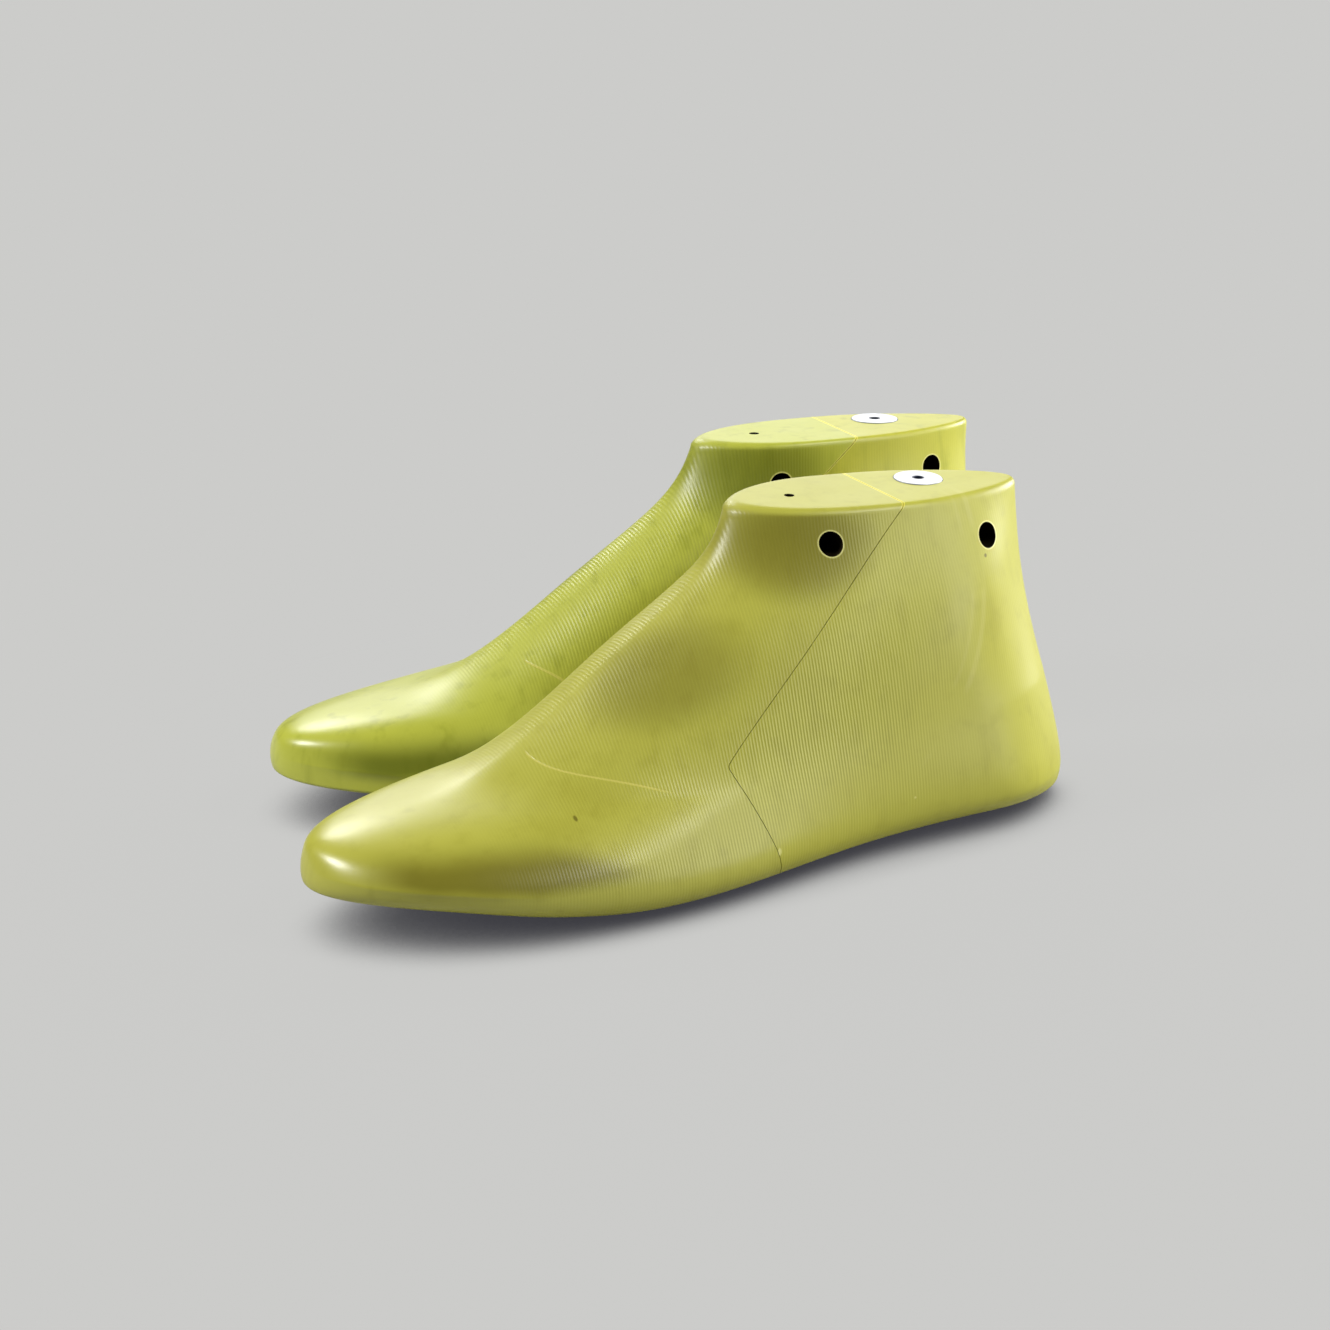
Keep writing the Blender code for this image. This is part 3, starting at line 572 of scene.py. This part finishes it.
def makeLast(side):
    # Forepart, heel part and bush of one last, each in place of its plain solid.
    h = holeForm
    inward = h["bushInward"][side]
    plate = np.array((h["bushRun"], inward, plateRise(h["bushRun"], inward)))
    seat = plate - plateUp * (h["flangeThickness"] - h["proud"])
    tools = heelTools(side, plate, seat)
    made = {
        "forepart": cutOut(side + "ForepartSkin", skinMesh("forepart", side), foreTools(side)),
        "heel_part": cutOut(side + "HeelPartSkin", skinMesh("heelPart", side), tools),
    }
    for node, item in made.items():
        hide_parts(f"{side}_{node}")
        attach(item, "foreparts" if node == "forepart" else side + "_heel")
    bush = makeBush(side, seat)
    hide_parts(side + "_jack_bush")
    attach(bush, side + "_heel")
    made["jack_bush"] = bush
    print(side, "last made:", {key: len(item.data.polygons) for key, item in made.items()})
    return made


lasts = {side: makeLast(side) for side in sideHand}


class Signal:
    # One socket of a material, so that plain arithmetic adds the Math nodes it stands for.
    def __init__(self, shade, socket):
        self.shade, self.socket = shade, socket

    def math(self, operation, *others):
        values = dict(enumerate((self, *others)))
        return self.shade.add("Math", {"operation": operation}, values)

    def __add__(self, other):
        return self.math("ADD", other)

    def __mul__(self, other):
        return self.math("MULTIPLY", other)

    def __sub__(self, other):
        return self.math("SUBTRACT", other)

    def __rsub__(self, other):
        return self.shade.add("Math", {"operation": "SUBTRACT"}, {0: other, 1: self})

    def __truediv__(self, other):
        return self.math("DIVIDE", other)

    def __pow__(self, other):
        return self.math("POWER", other)

    __radd__ = __add__
    __rmul__ = __mul__

    def sin(self):
        return self.math("SINE")

    def abs(self):
        return self.math("ABSOLUTE")

    def root(self):
        return self.math("SQRT")

    def most(self, other):
        return self.math("MAXIMUM", other)

    def ramp(self, start, end, low=0.0, high=1.0):
        # Goes smoothly from low to high while the signal goes from start to end.
        return self.shade.add("MapRange", {"interpolation_type": "SMOOTHSTEP"},
                              {0: self, 1: start, 2: end, 3: low, 4: high})


class Shade:
    # A material and its nodes.
    def __init__(self, name, **fixed):
        self.surface = bpy.data.materials.new(name)
        self.surface.use_nodes = True
        self.tree = self.surface.node_tree
        self.shader = self.tree.nodes["Principled BSDF"]
        for key, value in fixed.items():
            self.shader.inputs[key.replace("_", " ")].default_value = value
        self.place = self.add("TexCoord", out="Object")
        split = self.add("SeparateXYZ", values={0: self.place}, out=None)
        self.x, self.y, self.z = (Signal(self, split.outputs[k]) for k in range(3))

    def add(self, kind, settings=None, values=None, out=0):
        node = self.tree.nodes.new("ShaderNode" + kind)
        for key, value in (settings or {}).items():
            setattr(node, key, value)
        for key, value in (values or {}).items():
            self.feed(node.inputs[key], value)
        return node if out is None else Signal(self, node.outputs[out])

    def feed(self, socket, value):
        if isinstance(value, Signal):
            self.tree.links.new(value.socket, socket)
        else:
            socket.default_value = value

    def noise(self, scale, detail=2.0, stretch=None):
        place = self.place
        if stretch:
            place = self.add("VectorMath", {"operation": "MULTIPLY"}, {0: place, 1: stretch})
        return self.add("TexNoise", values={"Vector": place, "Scale": scale, "Detail": detail})

    def tint(self, amount, first, second):
        # Mixes two colours, each a colour or a signal.
        settings = {"data_type": "RGBA"}
        return self.add("Mix", settings, {0: amount, 6: first, 7: second}, out=2)

    def own(self, side):
        # Run, inward and rise in mm, in a last's own frame.
        return fromWorld(self.x * 1000, self.y * 1000, self.z * 1000, side)

    def streaks(self):
        # Fine streaks all one way, as brushing leaves them.
        return self.noise(400, 3.0, (1, 6, 1))

    def bump(self, height, distance):
        values = {"Strength": 1.0, "Distance": distance, "Height": height}
        self.feed(self.shader.inputs["Normal"], self.add("Bump", values=values))


def linear(*colour):
    # A colour as it is seen on a screen, from 0 to 255, as the light it stands for.
    share = np.array(colour) / 255
    return (*np.where(share < 0.04045, share / 12.92, ((share + 0.055) / 1.055) ** 2.4), 1.0)


plasticLook = {
    "left": {"forepart": (182, 180, 68), "heel_part": (184, 182, 64), "deep": (140, 134, 20)},
    "right": {"forepart": (184, 188, 66), "heel_part": (190, 188, 58), "deep": (134, 140, 14)},
    "roughness": 0.4, "gloss": 0.62, "toeSheen": 0.08,
    "linePitch": 1.08, "lineWander": 1.4, "lineDepth": 0.056, "lineTone": 0.24,
    "grainDepth": 0.012, "scribeDepth": 0.06,
    # The next colour is painted shade in the band low on the toe and in the patches under the rim and on
    # the instep, and the real colour of the small marks on the outer side.
    "stainAndShade": {"left": (98, 90, 0), "right": (84, 94, 0)}, "ring": (228, 224, 140),
    "cutSide": (224, 218, 110), "cutPlate": (236, 226, 84), "scribe": (216, 206, 104),
    "arc": (226, 222, 160),
}
# Scales of the noises that break up the tones and the turning lines.
noiseScale = {
    "wander": 18, "worn": 9, "grain": 900, "blotch": 20, "fine": 140, "streak": 170,
    "arc": 40, "rough": 60,
}
# Where the turning lines fade, and from what share to what share.
lineFade = {
    "toToe": (250, 165), "toSole": (10, 22, 0.3, 1.0), "toPlate": (0.5, 3),
    "toHeel": (45, 125, 0.3, 1.0), "worn": (0.3, 0.6, 0.6, 1.0),
}
# Where the edge of each tone starts and ends, in mm. The ring's is counted from the hole's edge.
edgeFade = {
    "plate": (2.6, 0.8), "outerSide": (6, -6), "scribe": (0.42, 0.15), "scribeFoot": (34, 36),
    "ring": (0.65, 0.25), "cutSide": (0.52, 0.34), "cutPlate": (0.5, 0.32),
    "arc": (1.6, 0.4), "thinArc": (1.2, 0.2), "bandTop": (-4, 5), "bandFoot": (-3, 3),
}
# How strongly each tone shows.
toneShare = {
    "blotch": 0.35, "fine": 0.18, "streak": {"left": 0.16, "right": 0.35}, "arc": 0.1,
    "toeShadeBand": 0.78, "patch": 0.65, "scribe": 0.55, "ring": 0.75,
    "cutSide": 0.6, "cutPlate": 0.75, "darkSpot": 0.8, "paleSpot": 0.7,
}
markPlaces = {
    # The scribed line's run, as a sum of powers of the inward place, and the two ends of it.
    "scribe": {"left": (199.0, -0.12, -0.0349), "right": (184.9, 1.04, -0.0369)},
    "scribeEnds": {"left": (-3, -36), "right": (19, 34)},
    # Small marks on the outer side: run, rise, radius, and how flat the mark lies.
    "darkSpots": ((194, 35.2, 0.8, 1), (35.4, 91.5, 0.8, 1)),
    "paleSpots": ((74.3, 19.5, 0.5, 1), (128.5, 14.5, 0.9, 0.3)),
    "arcPlace": (120.8, 96.4), "arcRadius": 83, "arcGap": 5, "arcEnds": (84, 66),
    # The band of painted shade low on the toe: its level top and foot, where they start to bend, and its
    # ends.
    "band": {"top": 31, "foot": 19, "bend": 215, "fall": 0.0085, "climb": 0.08,
             "ends": (148, 205, 272, 248)},
    # Patches of painted shade, under the rim and on the instep: middle in run, rise and inward, and the
    # squares of the reach each way.
    "rimShadePatch": ((102, 104), (1000, 420)),
    "hollowShade": ((152, 69, -12), (1500, 500, 500)),
}


def offPlate(own):
    # Depth under the plane of the plate.
    run, inward, rise = own
    f = lastForm
    slope = f["plateClimb"] / (f["plateFront"] - f["plateBack"])
    lean = math.tan(math.radians(f["plateLean"]))
    forward, sideways = run - f["plateBack"], inward - f["plateShift"]
    return forward * slope + sideways * lean - rise + f["plateBackHeight"]


def scribedLine(own, side):
    # Line scribed across the vamp, between two places.
    run, inward, rise = own
    c0, c1, c2 = markPlaces["scribe"][side]
    near, far = markPlaces["scribeEnds"][side]
    step = 1 if far > near else -1
    slant = inward * (2 * c2) + c1
    off = (run - (inward * inward * c2 + inward * c1 + c0)).abs() / (slant * slant + 1).root()
    within = inward.ramp(near, near + step * 3) * inward.ramp(far, far - step * 4)
    return off.ramp(*edgeFade["scribe"]) * rise.ramp(*edgeFade["scribeFoot"]) * within


def holeRings(own, side):
    # Thin pale rings round the cross holes.
    run, _, rise = own
    rings = []
    for which in ("front", "rear"):
        place = crossHole(which, side)
        away = ((run - place[0]) ** 2 + (rise - place[1]) ** 2).root()
        rings.append(away.ramp(*(holeForm["radius"] + wide for wide in edgeFade["ring"])))
    return rings[0].most(rings[1])


def offUpperCut(own, side):
    # Distance from the plane of the upper cut, which is skewed as the hinge is.
    run, inward, rise = own
    turn = math.radians(cutForm["skew"][side])
    inPlane = (run - pivot[0]) * math.cos(turn) - inward * math.sin(turn) + pivot[0]
    return ((inPlane - cutCorner[0]) * upperSquare[0] + (rise - cutCorner[1]) * upperSquare[1]).abs()


def toeShadeBand(own, blotch):
    # A band of painted shade low on the toe. Its top bends down towards the heel, its foot climbs towards
    # the toe.
    run, _, rise = own
    b = markPlaces["band"]
    top = b["top"] - (b["bend"] - run).most(0) ** 2 * b["fall"]
    foot = (run - b["bend"]).most(0) * b["climb"] + b["foot"]
    edge = rise + blotch * 5 - 2.5
    band = (top - edge).ramp(*edgeFade["bandTop"]) * (edge - foot).ramp(*edgeFade["bandFoot"])
    start, full, end, last = b["ends"]
    return band * run.ramp(start, full) * run.ramp(end, last)


def softPatch(own, middle, reach):
    # Strong in the middle and gone where the sum of the squares, each over its reach, is 1.
    run, inward, rise = own
    squares = [(at - m) ** 2 / r for at, m, r in zip((run, rise, inward), middle, reach)]
    return sum(squares[1:], squares[0]).ramp(1.0, 0.0)


def sideSpots(own, marks):
    # Two small marks on the outer side.
    run, inward, rise = own
    spots = []
    for markRun, markRise, radius, flat in marks:
        away = ((run - markRun) ** 2 + (rise - markRise) ** 2 * flat).root()
        spots.append(away.ramp(radius, radius * 0.5) * inward.ramp(*edgeFade["outerSide"]))
    return spots[0].most(spots[1])


def sawArcs(own, shade):
    # Two faint arcs on the outer side of the heel, broken up by noise.
    run, inward, rise = own
    m = markPlaces
    place = m["arcPlace"]
    off = ((run - place[0]) ** 2 + (rise - place[1]) ** 2).root() - m["arcRadius"]
    second = (off + m["arcGap"]).abs()
    arcs = off.abs().ramp(*edgeFade["arc"]) + second.ramp(*edgeFade["thinArc"]) * 0.6
    broken = shade.noise(noiseScale["arc"]).ramp(0.42, 0.6)
    return arcs * inward.ramp(*edgeFade["outerSide"]) * run.ramp(*m["arcEnds"]) * broken


def plasticSurface(side, part):
    look, marks, share = plasticLook, markPlaces, toneShare
    name = f"{side}{part.title().replace('_', '')}Plastic"
    shade = Shade(name, IOR=1.5, Specular_IOR_Level=look["gloss"])
    own = shade.own(side)
    run, _, rise = own
    toPlate = offPlate(own)
    onPlate = toPlate.ramp(*edgeFade["plate"])

    # Turning lines: rings square to the long axis, worn smooth towards the toe.
    wander = shade.noise(noiseScale["wander"]) * look["lineWander"]
    lines = ((run + wander) * (2 * math.pi / look["linePitch"])).sin() * 0.5 + 0.5
    shown = run.ramp(*lineFade["toToe"]) * rise.ramp(*lineFade["toSole"])
    shown = shown * toPlate.ramp(*lineFade["toPlate"])
    shown = shown * shade.noise(noiseScale["worn"]).ramp(*lineFade["worn"])
    lines = lines * shown * run.ramp(*lineFade["toHeel"])
    scribed = scribedLine(own, side)
    grain = shade.noise(noiseScale["grain"], 3.0) * look["grainDepth"]
    shade.bump(lines * look["lineDepth"] + grain - scribed * look["scribeDepth"], mm)

    # The cut: pale lines along its edge across the plate and down the right last's side.
    upper = offUpperCut(own, side)
    aboveCorner = rise.ramp(cutCorner[1] - 1, cutCorner[1] + 5)
    sideLine = upper.ramp(*edgeFade["cutSide"]) * aboveCorner * (1 - onPlate)
    plateLine = upper.ramp(*edgeFade["cutPlate"]) * onPlate

    # Blotches and streaks of the deeper tone, painted shade low on the toe, under the rim and on the
    # instep, and small marks.
    blotch = shade.noise(noiseScale["blotch"], 3.0)
    fine = shade.noise(noiseScale["fine"], 3.0)
    streaks = shade.noise(noiseScale["streak"], 3.0, (1, 1, 0.1))
    # Painted shade under the rim and on the instep.
    patch = softPatch(own, *marks["rimShadePatch"]) * (1 - onPlate)
    patch = patch.most(softPatch(own, *marks["hollowShade"]) * 0.75)
    tones = [
        (blotch.ramp(0.5, 0.85) * share["blotch"], look[side]["deep"]),
        (fine.ramp(0.5, 0.8) * share["fine"], look[side]["deep"]),
        (streaks.ramp(0.52, 0.75) * share["streak"][side], look[side]["deep"]),
        (lines * look["lineTone"], look[side]["deep"]),
        (sawArcs(own, shade) * share["arc"], look["arc"]),
        (toeShadeBand(own, blotch) * share["toeShadeBand"], look["stainAndShade"][side]),
        (patch * share["patch"], look["stainAndShade"][side]),
        (scribed * share["scribe"], look["scribe"]),
        (holeRings(own, side) * share["ring"], look["ring"]),
    ]
    if side == "right":
        tones.append((sideLine * share["cutSide"], look["cutSide"]))
    tones.append((plateLine * share["cutPlate"], look["cutPlate"]))
    if side == "left":
        tones.append((sideSpots(own, marks["darkSpots"]) * share["darkSpot"], look["stainAndShade"][side]))
        tones.append((sideSpots(own, marks["paleSpots"]) * share["paleSpot"], look["ring"]))
    colour = linear(*look[side][part])
    for amount, tone in tones:
        colour = shade.tint(amount, colour, linear(*tone))
    shade.feed(shade.shader.inputs["Base Color"], colour)
    rough = look["roughness"] + shade.noise(noiseScale["rough"]) * 0.1 - 0.05
    shade.feed(shade.shader.inputs["Roughness"], rough - run.ramp(200, 250, 0.0, look["toeSheen"]))
    return shade.surface


def holeShadeSurface():
    # Painted shade: a dull, nearly black colour on the walls of the cross holes and the gauge holes,
    # standing in for the shade inside them.
    shade = Shade("holeShadePaint", IOR=1.3, Specular_IOR_Level=0.1, Roughness=0.9)
    tone = shade.tint(shade.noise(300, 2.0), linear(20, 15, 8), linear(34, 28, 14))
    shade.feed(shade.shader.inputs["Base Color"], tone)
    return shade.surface


def shadeHoleWalls(item, side, surface):
    # Gives the faces inside the cross holes and the gauge hole the painted shade: those whose middle
    # lies within the hole's radius, and a little more, from its axis.
    item.data.materials.append(surface)
    count = len(item.data.polygons)
    middle, square = np.empty(count * 3), np.empty(count * 3)
    item.data.polygons.foreach_get("center", middle)
    item.data.polygons.foreach_get("normal", square)
    run, inward, rise = fromWorld(*(middle.reshape(-1, 3) / mm).T, side)
    sideways = abs(square.reshape(-1, 3)[:, 1])
    shadedWalls = np.zeros(count, bool)
    h = holeForm
    for which in ("front", "rear"):
        place = crossHole(which, side)
        shadedWalls |= (np.hypot(run - place[0], rise - place[1]) < h["radius"] + 0.01) & (sideways < 0.2)
    depth = plateRise(run, inward) - rise
    up = plateUp / plateUp[2]
    away = np.hypot(run - h["gaugeRun"] + depth * up[0], inward - lastForm["plateShift"] + depth * up[1])
    shadedWalls |= (away < h["gaugeRadius"] + 0.05) & (depth > 0.01) & (depth < h["gaugeDepth"] + 0.5)
    item.data.polygons.foreach_set("material_index", shadedWalls.astype(np.int32))
    print(item.name, "lined faces:", int(shadedWalls.sum()))


steelLook = {
    "link": {"tone": (150, 152, 156), "roughness": 0.34},
    "pin": {"tone": (190, 192, 196), "roughness": 0.24},
    # The bush's third tone is painted shade down its bore and along its edge.
    "bush": {"tone": (236, 238, 241), "streak": (206, 210, 217), "boreAndEdgeShade": (36, 42, 58), "roughness": 0.4},
}


def finishSteel(shade, tone, streak, roughness):
    shade.feed(shade.shader.inputs["Base Color"], tone)
    shade.feed(shade.shader.inputs["Roughness"], streak * 0.12 + roughness)
    shade.bump(streak * 0.01, mm)
    return shade.surface


def bushSurface(side):
    # Bright steel, with painted shade down its bore and along its edge.
    shade = Shade(side + "BushSteel", Metallic=0.7)
    run, inward, rise = shade.own(side)
    h = holeForm
    place = (h["bushRun"], h["bushInward"][side])
    depth = plateRise(*place) - rise
    up = plateUp / plateUp[2]
    away = ((run - place[0] + depth * up[0]) ** 2 + (inward - place[1] + depth * up[1]) ** 2).root()
    bore = away.ramp(h["boreRadius"] + 0.9, h["boreRadius"] + 0.3)
    edge = away.ramp(h["flangeRadius"] - h["edge"], h["flangeRadius"] - 0.05)
    look, streak = steelLook["bush"], shade.streaks()
    tone = shade.tint(streak * 0.3, linear(*look["tone"]), linear(*look["streak"]))
    tone = shade.tint(bore.most(edge * 0.6), tone, linear(*look["boreAndEdgeShade"]))
    return finishSteel(shade, tone, streak, look["roughness"])


def steelSurface(piece):
    # Plain steel of the pieces inside, streaked with a slightly darker tone.
    look = steelLook[piece]
    shade = Shade(piece + "Steel", Metallic=1.0)
    streak = shade.streaks()
    tone = shade.tint(streak, linear(*look["tone"]), linear(*(v * 0.88 for v in look["tone"])))
    return finishSteel(shade, tone, streak, look["roughness"])


def wear(item, surface):
    item.data.materials.clear()
    item.data.materials.append(surface)


parts = ("forepart", "heel_part")
plastics = {side: {part: plasticSurface(side, part) for part in parts} for side in sideHand}
paintedHoleShade = holeShadeSurface()
linkSteel = steelSurface("link")
pinSteel = steelSurface("pin")
for side, made in lasts.items():
    for part in parts:
        wear(made[part], plastics[side][part])
        shadeHoleWalls(made[part], side, paintedHoleShade)
    wear(made["jack_bush"], bushSurface(side))
    wear(frame["nodes"][side + "_hinge_link"], linkSteel)
    for node in ("hinge_pin", "rear_link_pin", "front_link_pin", "detent_plunger", "detent_spring"):
        wear(frame["nodes"][f"{side}_{node}"], pinSteel)
    for node in ("hinge_pin_plug", "rear_link_pin_plug", "front_link_pin_plug"):
        wear(frame["nodes"][f"{side}_{node}"], plastics[side]["forepart"])
print("materials made")

# Floor, light and camera.
stageLook = {
    "background": (204, 204, 202), "shadow": (60, 60, 66), "shadowReach": 0.034, "litShare": 0.04,
    "floorAlbedo": 0.42, "plainFrom": 0.189, "plain": 0.42, "edge": 1.3, "sides": 96, "rings": 20,
    "sky": 0.08, "aimHeight": 0.05, "lampDistance": 1.5,
}
lamps = {
    "right": {"azimuth": 98, "elevation": 14, "size": 0.7, "power": 20},
    "frontRight": {"azimuth": 42, "elevation": 14, "size": 1.0, "power": 9},
    "sheen": {"azimuth": 41, "elevation": 46, "size": 0.4, "power": 8},
    "left": {"azimuth": -100, "elevation": 38, "size": 0.5, "power": 19},
    "back": {"azimuth": 158, "elevation": 24, "size": 1.2, "power": 6.5},
    "topBack": {"azimuth": -178, "elevation": 37, "size": 0.35, "power": 4.5},
}
cameraView = {
    "azimuth": -23.44, "elevation": 17.71, "distance": 1144.8, "roll": -2.34,
    "target": (3.026, -47.25, 97.2), "focal": 3492.6, "axisPixel": (721.9, 570.9), "frame": 1330,
    "sensor": 36,
}


def backWay(azimuth, elevation):
    # Way from the middle to a lamp or the camera. Azimuth 0 is the left last's outer side.
    a, e = math.radians(azimuth), math.radians(elevation)
    return Vector((math.sin(a) * math.cos(e), -math.cos(a) * math.cos(e), math.sin(e)))


def makeFloor():
    s = stageLook
    n = s["sides"]
    radius = np.linspace(0, s["edge"], s["rings"])[1:]
    angle = np.linspace(0, 2 * np.pi, n, endpoint=False)
    points = np.stack((radius[:, None] * np.cos(angle), radius[:, None] * np.sin(angle),
                       np.zeros((len(radius), n))), axis=-1).reshape(-1, 3)
    faces = [face[::-1] for face in gridFaces(len(radius), n).tolist()] + [list(range(n))]
    floor = bpy.data.objects.new("floor", meshFrom("floor", points, faces))
    bpy.context.scene.collection.objects.link(floor)
    shade = Shade("floorPaint", Roughness=1.0)
    shade.shader.inputs["Specular IOR Level"].default_value = 0.0
    shade.shader.inputs["Base Color"].default_value = (s["floorAlbedo"],) * 3 + (1,)
    # Seen by the camera, the floor is plain, with a painted shadow close under the object.
    near = shade.add("AmbientOcclusion", {"samples": 16}, {"Distance": s["shadowReach"]}, "AO")
    colour = shade.tint(near.ramp(0.05, 0.8), linear(*s["shadow"]), linear(*s["background"]))
    pale = shade.add("Emission", values={"Color": colour})
    away = (shade.x ** 2 + shade.y ** 2).root()
    seen = shade.add("LightPath", out="Is Camera Ray")
    clear = shade.add("BsdfTransparent")
    output = shade.tree.nodes["Material Output"]
    body = Signal(shade, shade.shader.outputs[0])
    mixed = shade.add("MixShader", values={0: seen * (1 - s["litShare"]), 1: body, 2: pale})
    far = seen * away.ramp(s["plainFrom"], s["plain"])
    mixed = shade.add("MixShader", values={0: far, 1: mixed, 2: clear})
    shade.tree.links.new(mixed.socket, output.inputs["Surface"])
    wear(floor, shade.surface)


def makeWorld():
    world = bpy.data.worlds.new("studio")
    bpy.context.scene.world = world
    world.use_nodes = True
    nodes, links = world.node_tree.nodes, world.node_tree.links
    nodes.clear()
    path = nodes.new("ShaderNodeLightPath")
    sky = nodes.new("ShaderNodeBackground")
    sky.inputs["Strength"].default_value = stageLook["sky"]
    plain = nodes.new("ShaderNodeBackground")
    plain.inputs["Color"].default_value = linear(*stageLook["background"])
    mix = nodes.new("ShaderNodeMixShader")
    links.new(path.outputs["Is Camera Ray"], mix.inputs[0])
    links.new(sky.outputs[0], mix.inputs[1])
    links.new(plain.outputs[0], mix.inputs[2])
    links.new(mix.outputs[0], nodes.new("ShaderNodeOutputWorld").inputs[0])


def makeLamps():
    for name, lamp in lamps.items():
        light = bpy.data.lights.new(name, "AREA")
        light.shape = "DISK"
        light.size = lamp["size"]
        light.energy = lamp["power"]
        item = bpy.data.objects.new(name + "Lamp", light)
        away = backWay(lamp["azimuth"], lamp["elevation"])
        item.location = Vector((0, 0, stageLook["aimHeight"])) + away * stageLook["lampDistance"]
        item.rotation_euler = away.to_track_quat("Z", "Y").to_euler()
        bpy.context.scene.collection.objects.link(item)


def makeCamera():
    v = cameraView
    camera = bpy.data.cameras.new("camera")
    camera.sensor_width = v["sensor"]
    camera.lens = v["focal"] / v["frame"] * v["sensor"]
    camera.shift_x = (v["frame"] / 2 - v["axisPixel"][0]) / v["frame"]
    camera.shift_y = (v["axisPixel"][1] - v["frame"] / 2) / v["frame"]
    camera.clip_start, camera.clip_end = 0.05, 50
    item = bpy.data.objects.new("camera", camera)
    back = backWay(v["azimuth"], v["elevation"])
    right = Vector((0, 0, 1)).cross(back).normalized()
    up = back.cross(right)
    r = math.radians(v["roll"])
    turned = (right * math.cos(r) + up * math.sin(r), up * math.cos(r) - right * math.sin(r), back)
    place = Matrix(turned).transposed().to_4x4()
    place.translation = (Vector(v["target"]) + back * v["distance"]) * mm
    item.matrix_world = place
    bpy.context.scene.collection.objects.link(item)
    bpy.context.scene.camera = item


makeFloor()
makeWorld()
makeLamps()
makeCamera()
bpy.context.scene.view_settings.view_transform = "Standard"
print("stage made")
